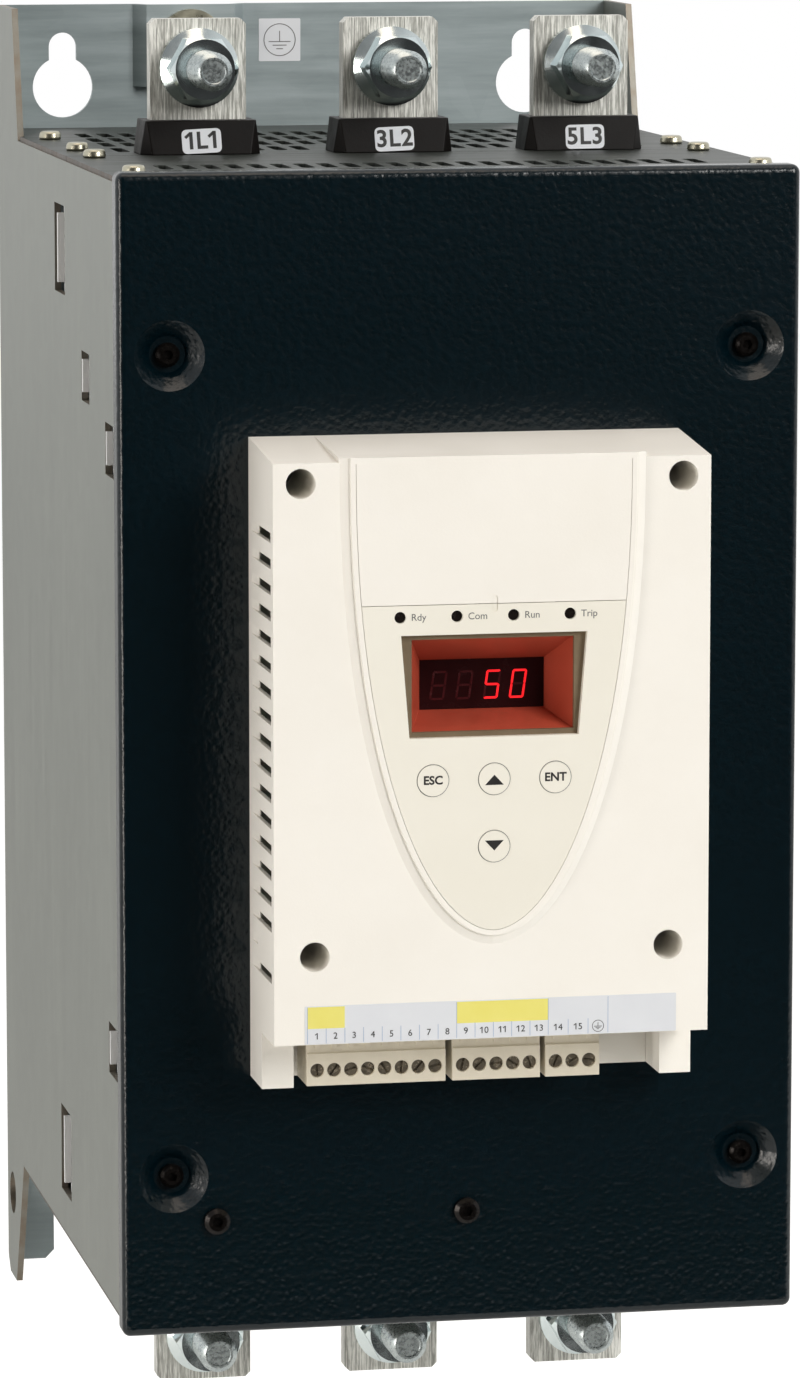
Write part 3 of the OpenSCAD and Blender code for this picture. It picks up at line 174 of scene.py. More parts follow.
# two colours, size of the patches, size and depth of the grain in mm, roughness from patch to patch, and metal
finishes = {
    # bright zinc plate, smooth with a cold tint: sharp reflections
    "zincPlatedSteel": dict(colours=("#bfccce", "#e4ecec"), patch=(7, 7, 7), grain=0.9, depth=0.003,
                            rough=(0.09, 0.18), metal=1.0),
    # the same plate on rolled threads and sawn ends: duller and grained
    "zincPlatedStud": dict(colours=("#707a7c", "#dfe7e7"), patch=(1.0, 1.0, 1.0), grain=0.5, depth=0.02,
                           rough=(0.20, 0.36), metal=0.9),
    # electro-galvanised inner sheets, only their tabs show: near white with little metal, a painted highlight
    # in place of the lamp the tabs reflect
    "paintedHighlightZincSheet": dict(colours=("#eceeee", "#fbfcfc"), patch=(6, 6, 30), grain=0.9, depth=0.006,
                            rough=(0.30, 0.42), metal=0.05),
    # yellow passivation over zinc: pale warm grey, softly mottled
    "yellowPassivatedSteel": dict(colours=("#a19d8a", "#cbc7b4"), patch=(4, 4, 4), grain=0.8, depth=0.008,
                                  rough=(0.25, 0.40), metal=1.0),
    # blackened screws: oily dark sheen
    "blackOxideSteel": dict(colours=("#0f0d0c", "#211d1b"), patch=(1.5, 1.5, 1.5), grain=0.7, depth=0.02,
                            rough=(0.15, 0.30), metal=0.7),
    # mill finish extrusion: satin, with drawn lines along Z
    "extrudedAluminium": dict(colours=("#a9acab", "#c4c7c5"), patch=(1.2, 1.2, 60), grain=0.8, depth=0.01,
                              rough=(0.30, 0.45), metal=1.0),
    # glass-filled boots: dark brown black with a moulded grain
    "mouldedPolyamide": dict(colours=("#070504", "#0e0a08"), patch=(6, 6, 6), grain=0.7, depth=0.03,
                             rough=(0.36, 0.50), metal=0.0, specular=0.15),
    # moulded parts of the inside and the fans: even satin black
    "blackThermoplastic": dict(colours=("#161617", "#242426"), patch=(8, 8, 8), grain=0.8, depth=0.03,
                               rough=(0.40, 0.55), metal=0.0),
    # pressed glass polyester: matt bone colour
    "glassPolyesterInsulator": dict(colours=("#cbc3ac", "#ded8c6"), patch=(5, 5, 5), grain=1.0, depth=0.03,
                                    rough=(0.45, 0.60), metal=0.0),
    # moulded transformer cases: dull dark blue
    "blueThermoplastic": dict(colours=("#1c2c42", "#294060"), patch=(8, 8, 8), grain=0.8, depth=0.03,
                              rough=(0.40, 0.55), metal=0.0),
    # turned standoffs: bright yellow metal
    "turnedBrass": dict(colours=("#b59a58", "#d9c384"), patch=(3, 3, 3), grain=0.8, depth=0.01,
                        rough=(0.22, 0.36), metal=1.0),
    # moulded housing with a fine spark-eroded grain: soft, even cream
    "creamPolycarbonate": dict(colours=("#f3efe6", "#f8f5ee"), patch=(28, 28, 28), grain=0.75, depth=0.022,
                               rough=(0.42, 0.54), metal=0.0),
    # keypad and keys: smoother and a touch yellower than the housing
    "satinPanelPlastic": dict(colours=("#eeeadd", "#f3f0e5"), patch=(35, 35, 35), grain=0.9, depth=0.008,
                              rough=(0.34, 0.44), metal=0.0),
    # moulded bezel: matt grey brown
    "taupeBezelPlastic": dict(colours=("#6a5b45", "#7b6b54"), patch=(6, 6, 6), grain=0.7, depth=0.02,
                              rough=(0.40, 0.55), metal=0.0),
    # moulded funnel: dull brick red
    "redWindowPlastic": dict(colours=("#a6412d", "#ba543f"), patch=(9, 9, 9), grain=0.9, depth=0.01,
                             rough=(0.30, 0.42), metal=0.0, specular=0.3),
    # tinted window: nearly black red with little shine
    "smokedDisplayAcrylic": dict(colours=("#220a0b", "#2e0f10"), patch=(10, 10, 10), grain=1.2, depth=0.004,
                                 rough=(0.20, 0.30), metal=0.0, specular=0.15),
    # unlit lamp lenses: brown black and glossy
    "smokedLampLens": dict(colours=("#0f0b09", "#1e1713"), patch=(2, 2, 2), grain=0.8, depth=0.01,
                           rough=(0.15, 0.30), metal=0.0),
    # moulded terminal blocks: a darker, matt cream
    "creamTerminalNylon": dict(colours=("#d8d0bd", "#e6dfce"), patch=(5, 5, 5), grain=0.6, depth=0.02,
                               rough=(0.42, 0.56), metal=0.0),
    # plated clamp screws: a mix of bright and tarnished heads
    "platedClampSteel": dict(colours=("#2c241d", "#c9bda8"), patch=(2.2, 2.2, 2.2), grain=0.6, depth=0.01,
                             rough=(0.16, 0.32), metal=0.65),
    # label film: smooth cool white
    "whiteLabelFilm": dict(colours=("#dadde3", "#e3e6ea"), patch=(14, 14, 14), grain=1.0, depth=0.004,
                           rough=(0.30, 0.42), metal=0.0),
    # the same film, printed pale yellow
    "yellowLabelFilm": dict(colours=("#e9df72", "#efe784"), patch=(9, 9, 9), grain=1.0, depth=0.004,
                            rough=(0.32, 0.44), metal=0.0),
    # black print: matt and not quite black
    "blackPrintInk": dict(colours=("#161514", "#232120"), patch=(3, 3, 3), grain=0.8, depth=0.004,
                          rough=(0.40, 0.55), metal=0.0),
    # thin grey print: softer than the black
    "greyPrintInk": dict(colours=("#5f5f60", "#707071"), patch=(3, 3, 3), grain=0.8, depth=0.004,
                         rough=(0.40, 0.55), metal=0.0),
    # fine lines of the terminal strip: pale blue
    "bluePrintInk": dict(colours=("#8fa4c4", "#a4b6d0"), patch=(3, 3, 3), grain=0.8, depth=0.004,
                         rough=(0.40, 0.55), metal=0.0),
    # unlit segments: a little redder than the window
    "darkSegmentFilm": dict(colours=("#3c1013", "#4a1518"), patch=(3, 3, 3), grain=0.8, depth=0.003,
                            rough=(0.18, 0.30), metal=0.0),
    # lit segments: red that glows by itself
    "litSegment": dict(colours=("#e0141d", "#f52a30"), patch=(3, 3, 3), grain=0.8, depth=0.003,
                       rough=(0.30, 0.40), metal=0.0, glow=("#ff1c24", 0.8)),
}


def newSurface(name):
    material = bpy.data.materials.new(name)
    material.use_nodes = True
    tree = material.node_tree
    where = addNode(tree, "ShaderNodeTexCoord")
    return material, tree, tree.nodes["Principled BSDF"], where


# mottled colour and roughness with a fine bump, all in real millimetres
def mottledSurface(name, spec):
    material, tree, skin, where = newSurface(name)
    spread = addNode(tree, "ShaderNodeMapping", {"Scale": [1000 / size for size in spec["patch"]]},
                     {"Vector": where.outputs["Object"]})
    patches = addNode(tree, "ShaderNodeTexNoise", {"Scale": 1.0, "Detail": 4.0, "Roughness": 0.6},
                      {"Vector": spread.outputs[0]})
    first, second = [linear(code) for code in spec["colours"]]
    tint = addNode(tree, "ShaderNodeMix", {"data_type": "RGBA", 6: first, 7: second},
                   {0: patches.outputs["Fac"]})
    tree.links.new(tint.outputs[2], skin.inputs["Base Color"])
    grain = addNode(tree, "ShaderNodeTexNoise", {"Scale": 1000 / spec["grain"], "Detail": 2.0},
                    {"Vector": where.outputs["Object"]})
    sheen = addNode(tree, "ShaderNodeMapRange", {
        "From Min": noiseSpread[0], "From Max": noiseSpread[1],
        "To Min": spec["rough"][0], "To Max": spec["rough"][1]}, {"Value": patches.outputs["Fac"]})
    tree.links.new(sheen.outputs["Result"], skin.inputs["Roughness"])
    bump = addNode(tree, "ShaderNodeBump", {"Strength": 1.0, "Distance": mm(spec["depth"])},
                   {"Height": grain.outputs["Fac"]})
    tree.links.new(bump.outputs[0], skin.inputs["Normal"])
    skin.inputs["Metallic"].default_value = spec["metal"]
    skin.inputs["Specular IOR Level"].default_value = spec.get("specular", plainSpecular)
    if "glow" in spec:
        glowColour, glowStrength = spec["glow"]
        skin.inputs["Emission Color"].default_value = linear(glowColour)
        skin.inputs["Emission Strength"].default_value = glowStrength
    return material


surfaces = {name: mottledSurface(name, spec) for name, spec in finishes.items()}


# Hot-dip galvanised sheet: satin grey zinc with long rolling streaks, faint spangle and browned cut edges.
galvanised = {
    # side walls, seen at a flat angle
    "galvanisedWall": {
        "dark": "#838680", "light": "#9b9e98", "edge": "#6f5b47", "streak": (4.0, 4.0, 90.0), "spangle": 7.0,
        "rough": (0.40, 0.52), "metal": 0.80, "normal": "X", "edgePlace": 100.9},
    # back plate, a little bluer, rolled sideways
    "galvanisedBack": {
        "dark": "#8d999b", "light": "#a9b4b7", "edge": "#6f5b47", "streak": (60.0, 60.0, 5.0), "spangle": 9.0,
        "rough": (0.36, 0.48), "metal": 0.38, "normal": "Y", "edgePlace": 200.0},
    # end plates: the walls' zinc with painted shade, its colours much darker than the walls'
    "shadedGalvanisedPlate": {
        "dark": "#3e423f", "light": "#4d514d", "edge": "#5f4c3b", "streak": (50.0, 5.0, 50.0), "spangle": 7.0,
        "rough": (0.40, 0.52), "metal": 0.80, "normal": "Z", "edgePlace": 99.0},
}

# what the three sheets share: spangle, contrast, turn of a cut face, stain size and bump in mm
sheetSkin = {"spangleShare": 0.06, "contrast": (0.35, 0.85), "cutFacing": 0.4, "stain": 5.0,
             "bump": 0.5, "depth": 0.01}


def galvanisedSurface(name, spec, skinSpec):
    material, tree, skin, where = newSurface(name)
    spread = addNode(tree, "ShaderNodeMapping", {"Scale": [1000 / size for size in spec["streak"]]},
                     {"Vector": where.outputs["Object"]})
    streaks = addNode(tree, "ShaderNodeTexNoise", {"Scale": 1.0, "Detail": 5.0, "Roughness": 0.62},
                      {"Vector": spread.outputs[0]})
    spangle = addNode(tree, "ShaderNodeTexVoronoi", {"Scale": 1000 / spec["spangle"]},
                      {"Vector": where.outputs["Object"]})
    crystal = addNode(tree, "ShaderNodeSeparateXYZ", links={0: spangle.outputs["Color"]})
    blend = addNode(tree, "ShaderNodeMath", {"operation": "MULTIPLY_ADD", 1: skinSpec["spangleShare"]},
                    {0: crystal.outputs[0], 2: streaks.outputs["Fac"]})
    shade = addNode(tree, "ShaderNodeMapRange", {
        "From Min": skinSpec["contrast"][0], "From Max": skinSpec["contrast"][1]}, {"Value": blend.outputs[0]})
    tint = addNode(tree, "ShaderNodeMix", {
        "data_type": "RGBA", 6: linear(spec["dark"]), 7: linear(spec["light"])}, {0: shade.outputs["Result"]})
    # cut edges: faces that don't face along the sheet's own normal, in the outer strip of the sheet
    facing = addNode(tree, "ShaderNodeSeparateXYZ", links={0: where.outputs["Normal"]})
    across = addNode(tree, "ShaderNodeMath", {"operation": "ABSOLUTE"}, {0: facing.outputs[spec["normal"]]})
    cut = addNode(tree, "ShaderNodeMath", {"operation": "LESS_THAN", 1: skinSpec["cutFacing"]},
                  {0: across.outputs[0]})
    spot = addNode(tree, "ShaderNodeSeparateXYZ", links={0: where.outputs["Object"]})
    side = addNode(tree, "ShaderNodeMath", {"operation": "ABSOLUTE"}, {0: spot.outputs["X"]})
    outer = addNode(tree, "ShaderNodeMath", {"operation": "GREATER_THAN", 1: mm(spec["edgePlace"])},
                    {0: side.outputs[0]})
    rim = addNode(tree, "ShaderNodeMath", {"operation": "MULTIPLY"}, {0: cut.outputs[0], 1: outer.outputs[0]})
    stain = addNode(tree, "ShaderNodeTexNoise", {"Scale": 1000 / skinSpec["stain"], "Detail": 3.0},
                    {"Vector": where.outputs["Object"]})
    rust = addNode(tree, "ShaderNodeMath", {"operation": "MULTIPLY"},
                   {0: rim.outputs[0], 1: stain.outputs["Fac"]})
    colour = addNode(tree, "ShaderNodeMix", {"data_type": "RGBA", 7: linear(spec["edge"])},
                     {0: rust.outputs[0], 6: tint.outputs[2]})
    tree.links.new(colour.outputs[2], skin.inputs["Base Color"])
    sheen = addNode(tree, "ShaderNodeMapRange", {
        "From Min": noiseSpread[0], "From Max": noiseSpread[1],
        "To Min": spec["rough"][0], "To Max": spec["rough"][1]}, {"Value": streaks.outputs["Fac"]})
    tree.links.new(sheen.outputs["Result"], skin.inputs["Roughness"])
    bump = addNode(tree, "ShaderNodeBump", {"Strength": skinSpec["bump"], "Distance": mm(skinSpec["depth"])},
                   {"Height": blend.outputs[0]})
    tree.links.new(bump.outputs[0], skin.inputs["Normal"])
    skin.inputs["Metallic"].default_value = spec["metal"]
    return material


for name, spec in galvanised.items():
    surfaces[name] = galvanisedSurface(name, spec, sheetSkin)


# Textured powder coat: very dark blue green, hard satin skin with pebbles about 2 mm across.
powderCoat = {"dark": "#000c11", "light": "#02131a", "pebble": 1.8, "pebbleSoft": 0.9, "ripple": 0.9,
              "rippleShare": 0.5, "bump": 0.8, "depth": 0.13, "rough": 0.22, "specular": 0.42}


def powderCoatSurface(name, spec):
    material, tree, skin, where = newSurface(name)
    pebbles = addNode(tree, "ShaderNodeTexVoronoi", {
        "feature": "SMOOTH_F1", "Scale": 1000 / spec["pebble"], "Smoothness": spec["pebbleSoft"]}, {
        "Vector": where.outputs["Object"]})
    ripple = addNode(tree, "ShaderNodeTexNoise", {"Scale": 1000 / spec["ripple"], "Detail": 1.5},
                     {"Vector": where.outputs["Object"]})
    height = addNode(tree, "ShaderNodeMath", {"operation": "MULTIPLY_ADD", 1: spec["rippleShare"]},
                     {0: ripple.outputs["Fac"], 2: pebbles.outputs["Distance"]})
    bump = addNode(tree, "ShaderNodeBump", {"Strength": spec["bump"], "Distance": mm(spec["depth"])},
                   {"Height": height.outputs[0]})
    tree.links.new(bump.outputs[0], skin.inputs["Normal"])
    tint = addNode(tree, "ShaderNodeMix", {
        "data_type": "RGBA", 6: linear(spec["dark"]), 7: linear(spec["light"])}, {
        0: pebbles.outputs["Distance"]})
    tree.links.new(tint.outputs[2], skin.inputs["Base Color"])
    skin.inputs["Roughness"].default_value = spec["rough"]
    skin.inputs["Specular IOR Level"].default_value = spec["specular"]
    return material


surfaces["powderCoat"] = powderCoatSurface("powderCoat", powderCoat)


# Tinned copper bar: linished along its length, so the scratches run up and down.
tinnedBar = {"dark": "#a3a39c", "light": "#f4f4ee", "scratch": (0.45, 0.45, 9.0), "contrast": (0.42, 0.60),
             "rough": (0.30, 0.46), "metal": 0.25, "bump": 0.7, "depth": 0.04}


def tinnedBarSurface(name, spec):
    material, tree, skin, where = newSurface(name)
    spread = addNode(tree, "ShaderNodeMapping", {"Scale": [1000 / size for size in spec["scratch"]]},
                     {"Vector": where.outputs["Object"]})
    lines = addNode(tree, "ShaderNodeTexNoise", {"Scale": 1.0, "Detail": 4.0, "Roughness": 0.7},
                    {"Vector": spread.outputs[0]})
    shade = addNode(tree, "ShaderNodeMapRange", {
        "From Min": spec["contrast"][0], "From Max": spec["contrast"][1]}, {"Value": lines.outputs["Fac"]})
    tint = addNode(tree, "ShaderNodeMix", {
        "data_type": "RGBA", 6: linear(spec["dark"]), 7: linear(spec["light"])}, {0: shade.outputs["Result"]})
    tree.links.new(tint.outputs[2], skin.inputs["Base Color"])
    sheen = addNode(tree, "ShaderNodeMapRange", {
        "From Min": noiseSpread[0], "From Max": noiseSpread[1],
        "To Min": spec["rough"][0], "To Max": spec["rough"][1]}, {"Value": lines.outputs["Fac"]})
    tree.links.new(sheen.outputs["Result"], skin.inputs["Roughness"])
    bump = addNode(tree, "ShaderNodeBump", {"Strength": spec["bump"], "Distance": mm(spec["depth"])},
                   {"Height": lines.outputs["Fac"]})
    tree.links.new(bump.outputs[0], skin.inputs["Normal"])
    skin.inputs["Metallic"].default_value = spec["metal"]
    return material


surfaces["tinnedCopper"] = tinnedBarSurface("tinnedCopper", tinnedBar)


# Circuit board: green solder mask over darker tracks.
circuitBoard = {"mask": "#2c6a3c", "track": "#1f4f2c", "trackSize": 3.0, "trackEdge": 0.42,
                "bump": 0.5, "depth": 0.05, "rough": 0.35}


def circuitBoardSurface(name, spec):
    material, tree, skin, where = newSurface(name)
    tracks = addNode(tree, "ShaderNodeTexVoronoi", {"distance": "CHEBYCHEV", "Scale": 1000 / spec["trackSize"]},
                     {"Vector": where.outputs["Object"]})
    step = addNode(tree, "ShaderNodeMath", {"operation": "GREATER_THAN", 1: spec["trackEdge"]},
                   {0: tracks.outputs["Distance"]})
    tint = addNode(tree, "ShaderNodeMix", {
        "data_type": "RGBA", 6: linear(spec["mask"]), 7: linear(spec["track"])}, {0: step.outputs[0]})
    tree.links.new(tint.outputs[2], skin.inputs["Base Color"])
    bump = addNode(tree, "ShaderNodeBump", {"Strength": spec["bump"], "Distance": mm(spec["depth"])},
                   {"Height": step.outputs[0]})
    tree.links.new(bump.outputs[0], skin.inputs["Normal"])
    skin.inputs["Roughness"].default_value = spec["rough"]
    return material


surfaces["circuitBoard"] = circuitBoardSurface("circuitBoard", circuitBoard)


# which CAD nodes get which finish
finishOfNode = {
    "galvanisedWall": ["chassis_wall_left", "chassis_wall_right"],
    "galvanisedBack": ["chassis"],
    "paintedHighlightZincSheet": ["partition", "board_bracket", "front_carrier"],
    "shadedGalvanisedPlate": ["rear_top_grille", "front_top_plate", "rear_bottom_grille", "front_bottom_plate"],
    "zincPlatedSteel": ["carrier_pillars", "inner_screws", "power_studs", "power_nuts", "module_screws"],
    "powderCoat": ["front_cover"],
    "blackOxideSteel": ["cover_screws"],
    "blackThermoplastic": ["cover_strip", "serial_port", "fan_frame_left", "fan_frame_right",
                           "fan_rotor_left", "fan_rotor_right",
                           "thyristor_module_1", "thyristor_module_2", "thyristor_module_3"],
    "yellowPassivatedSteel": ["earth_screw", "plate_screws"],
    "extrudedAluminium": ["heat_sink"],
    "tinnedCopper": ["line_busbar_1", "line_busbar_2", "line_busbar_3",
                     "load_busbar_1", "load_busbar_2", "load_busbar_3"],
    "glassPolyesterInsulator": ["bar_insulators"],
    "mouldedPolyamide": ["bar_shrouds"],
    "blueThermoplastic": ["current_transformers"],
    "circuitBoard": ["firing_board", "control_board"],
    "turnedBrass": ["board_standoffs"],
    "creamPolycarbonate": ["module_housing", "module_base", "upper_plate"],
    "satinPanelPlastic": ["keypad_plate", "key_escape", "key_up", "key_enter", "key_down"],
    "taupeBezelPlastic": ["display_bezel"],
    "redWindowPlastic": ["display_funnel"],
    "smokedDisplayAcrylic": ["display_unit"],
    "smokedLampLens": ["lamp_lenses"],
    "creamTerminalNylon": ["terminal_headers", "terminal_plug_8", "terminal_plug_5", "terminal_plug_3"],
    "platedClampSteel": ["plug_screws_8", "plug_screws_5", "plug_screws_3"],
}

for finish, names in finishOfNode.items():
    for name in names:
        nodes[name].data.materials.clear()
        nodes[name].data.materials.append(surfaces[finish])
print("finishes given to the CAD nodes")


# shared modelling steps

# in mm: how far a label starts under its face, how far ink stands off it, and how thick ink is
thin = {"sunk": 0.02, "lift": 0.01, "line": 0.03, "letterHalf": 0.02, "lettersOff": 0.02}


def startPiece(name):
    piece = bpy.context.object
    piece.name = name
    piece.data.name = name
    return piece


def settle(piece, finish, body):
    bpy.ops.object.select_all(action="DESELECT")
    piece.select_set(True)
    bpy.context.view_layer.objects.active = piece
    bpy.ops.object.transform_apply(location=True, rotation=True, scale=True)
    piece.data.materials.clear()
    piece.data.materials.append(surfaces[finish])
    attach(piece, body)
    return piece


def joinPieces(name, pieces):
    bpy.ops.object.select_all(action="DESELECT")
    for piece in pieces:
        piece.select_set(True)
    bpy.context.view_layer.objects.active = pieces[0]
    if len(pieces) > 1:
        bpy.ops.object.join()
    return startPiece(name)


# a thin film with rounded corners that faces the front; lean tips its top back and turn tilts it, in degrees
def filmPiece(name, x, z, depth, thick, corner=0.0, lean=0.0, turn=0.0):
    bpy.ops.object.select_all(action="DESELECT")
    bpy.ops.mesh.primitive_plane_add(size=1)
    piece = startPiece(name)
    piece.scale = (mm(x[1] - x[0]), mm(z[1] - z[0]), 1)
    bpy.ops.object.transform_apply(scale=True)
    bpy.ops.object.mode_set(mode="EDIT")
    bpy.ops.mesh.select_all(action="SELECT")
    if corner > 0:
        bpy.ops.mesh.bevel(offset=mm(corner), segments=4, affect="VERTICES")
        bpy.ops.mesh.select_all(action="SELECT")
    bpy.ops.mesh.extrude_region_move(TRANSFORM_OT_translate={"value": (0, 0, mm(thick))})
    bpy.ops.mesh.select_all(action="SELECT")
    bpy.ops.mesh.normals_make_consistent(inside=False)
    bpy.ops.object.mode_set(mode="OBJECT")
    piece.location = (mm((x[0] + x[1]) / 2), -mm(depth), mm((z[0] + z[1]) / 2))
    piece.rotation_euler = (math.radians(90 - lean), math.radians(turn), 0)
    bpy.ops.object.transform_apply(location=True, rotation=True, scale=True)
    return piece


# words as a thin flat mesh; weight thickens the strokes, in mm
def wordsPiece(name, words, size, weight, align="CENTER"):
    bpy.ops.object.select_all(action="DESELECT")
    bpy.ops.object.text_add()
    text = bpy.context.object.data
    text.body = words
    text.size = mm(size)
    text.align_x = align
    text.align_y = "CENTER"
    text.extrude = mm(thin["letterHalf"])
    text.offset = mm(weight)
    text.resolution_u = 4
    bpy.ops.object.convert(target="MESH")
    return startPiece(name)


# printed words that face the front
def printPiece(name, words, x, z, depth, size, weight=0.0, align="CENTER"):
    piece = wordsPiece(name, words, size, weight, align)
    piece.location = (mm(x), -mm(depth), mm(z))
    piece.rotation_euler = (math.radians(90), 0, 0)
    bpy.ops.object.transform_apply(location=True, rotation=True, scale=True)
    return piece


# one printed letter, flat, about a place on the line
def letterPiece(letter, x, size, weight):
    piece = wordsPiece("letter", letter, size, weight)
    piece.location = (mm(x), 0, 0)
    bpy.ops.object.transform_apply(location=True)
    return piece


# the font's figure one is a plain stem, so it gets a slanted flag;
# its length is a share of the letter's size, its width and start are shares of the stem's width
flag = {"length": 0.30, "width": 0.85, "start": 0.4, "slant": 38}


def flagPiece(stem, size):
    left = min(vertex.co.x for vertex in stem.data.vertices)
    right = max(vertex.co.x for vertex in stem.data.vertices)
    top = max(vertex.co.y for vertex in stem.data.vertices)
    length, width = mm(flag["length"] * size), flag["width"] * (right - left)
    slant = math.radians(flag["slant"])
    endX, endY = left + flag["start"] * (right - left), top - width / 2 * math.cos(slant)
    bpy.ops.object.select_all(action="DESELECT")
    bpy.ops.mesh.primitive_cube_add(size=1)
    piece = startPiece("flag")
    piece.scale = (length, width, 2 * mm(thin["letterHalf"]))
    piece.rotation_euler = (0, 0, slant)
    piece.location = (endX - math.cos(slant) * length / 2, endY - math.sin(slant) * length / 2, 0)
    bpy.ops.object.transform_apply(location=True, rotation=True, scale=True)
    return piece


# room for each letter in a row, as shares of the letter's size; a one stands a little to the right for its flag
letterRoom = {"1": 0.50, "L": 0.50, "T": 0.54, "others": 0.58, "oneShift": 0.05}


# letters in a row, turned up to face the front
def rowOfLetters(words, x, z, depth, size, weight=0.0, lean=0.0, turn=0.0):
    widths = [letterRoom.get(letter, letterRoom["others"]) * size for letter in words]
    pieces, start = [], -sum(widths) / 2
    for letter, width in zip(words, widths):
        shift = letterRoom["oneShift"] * size if letter == "1" else 0
        pieces.append(letterPiece(letter, start + width / 2 + shift, size, weight))
        if letter == "1":
            pieces.append(flagPiece(pieces[-1], size))
        start += width
    for piece in pieces:
        piece.location = (mm(x), -mm(depth), mm(z))
        piece.rotation_euler = (math.radians(90 - lean), math.radians(turn), 0)
    return pieces


# a flat printed ring
def ringPiece(name, x, z, depth, inner, outer, thick):
    bpy.ops.object.select_all(action="DESELECT")
    bpy.ops.mesh.primitive_circle_add(vertices=64, radius=mm(outer), fill_type="NGON")
    piece = startPiece(name)
    bpy.ops.object.mode_set(mode="EDIT")
    bpy.ops.mesh.select_all(action="SELECT")
    bpy.ops.mesh.inset(thickness=mm(outer - inner))
    bpy.ops.mesh.delete(type="FACE")
    bpy.ops.mesh.select_all(action="SELECT")
    bpy.ops.mesh.extrude_region_move(TRANSFORM_OT_translate={"value": (0, 0, mm(thick))})
    bpy.ops.mesh.select_all(action="SELECT")
    bpy.ops.mesh.normals_make_consistent(inside=False)
    bpy.ops.object.mode_set(mode="OBJECT")
    piece.location = (mm(x), -mm(depth), mm(z))
    piece.rotation_euler = (math.radians(90), 0, 0)
    bpy.ops.object.transform_apply(location=True, rotation=True, scale=True)
    return piece


# earth sign: half length and level of each bar and height of the stem, as shares of its size
earthShape = {"bars": ((0.5, 0.0), (0.32, -0.16), (0.15, -0.32)), "stem": 0.48}


def earthSign(name, x, z, depth, size, line):
    marks = []
    for half, level in earthShape["bars"]:
        barZ = z + level * size
        marks.append(filmPiece(name, (x - half * size, x + half * size), (barZ - line / 2, barZ + line / 2),
                               depth, thin["line"]))
    stem = (z, z + earthShape["stem"] * size)
    marks.append(filmPiece(name, (x - line / 2, x + line / 2), stem, depth, thin["line"]))
    return marks


# rounded edges on the CAD solids, as modifiers: (width in mm, segments, angle in degrees);
# loose triangles are welded and flat faces joined first, so that only real edges are rounded
edgeRounds = {
    "bar_shrouds": (0.5, 3, 30),
    "plate_screws": (0.9, 3, 30),
    "terminal_plug_8": (0.25, 2, 40),
    "terminal_plug_5": (0.25, 2, 40),
    "terminal_plug_3": (0.25, 2, 40),
}
weldGap = 1e-6      # metres
flatAngle = 1       # degrees


def roundEdges(rounds):
    for name, (width, segments, angle) in rounds.items():
        node = nodes[name]
        weld = node.modifiers.new("weld", "WELD")
        weld.merge_threshold = weldGap
        flat = node.modifiers.new("flat", "DECIMATE")
        flat.decimate_type = "DISSOLVE"
        flat.angle_limit = math.radians(flatAngle)
        bevel = node.modifiers.new("round", "BEVEL")
        bevel.width = mm(width)
        bevel.segments = segments
        bevel.limit_method = "ANGLE"
        bevel.angle_limit = math.radians(angle)
        bevel.harden_normals = True


roundEdges(edgeRounds)
print("edges rounded")


# terminal studs: rolled thread, chamfered point with a centre dimple, hexagon head behind the bar

stud = {
    "x": (-60.5, 0.0, 60.5), "z": (198.5, -201.5), "headBack": 132.5, "barBack": 140.0, "end": 176.0,
    "sunk": 0.5, "shankEnd": 148.0, "crest": 5.95, "root": 5.3, "pitch": 1.75,
    "thread": ((0.42, "root"), (0.55, "root"), (0.90, "crest"), (1.00, "crest")),      # places in one pitch
    "tip": 1.6, "tipStep": 0.25, "tipShare": 0.75, "dimple": 3.7, "dimpleTaper": 0.93,
    "headFlats": 18.5, "headEdge": 0.6, "sides": 40, "smoothAngle": 25,
}


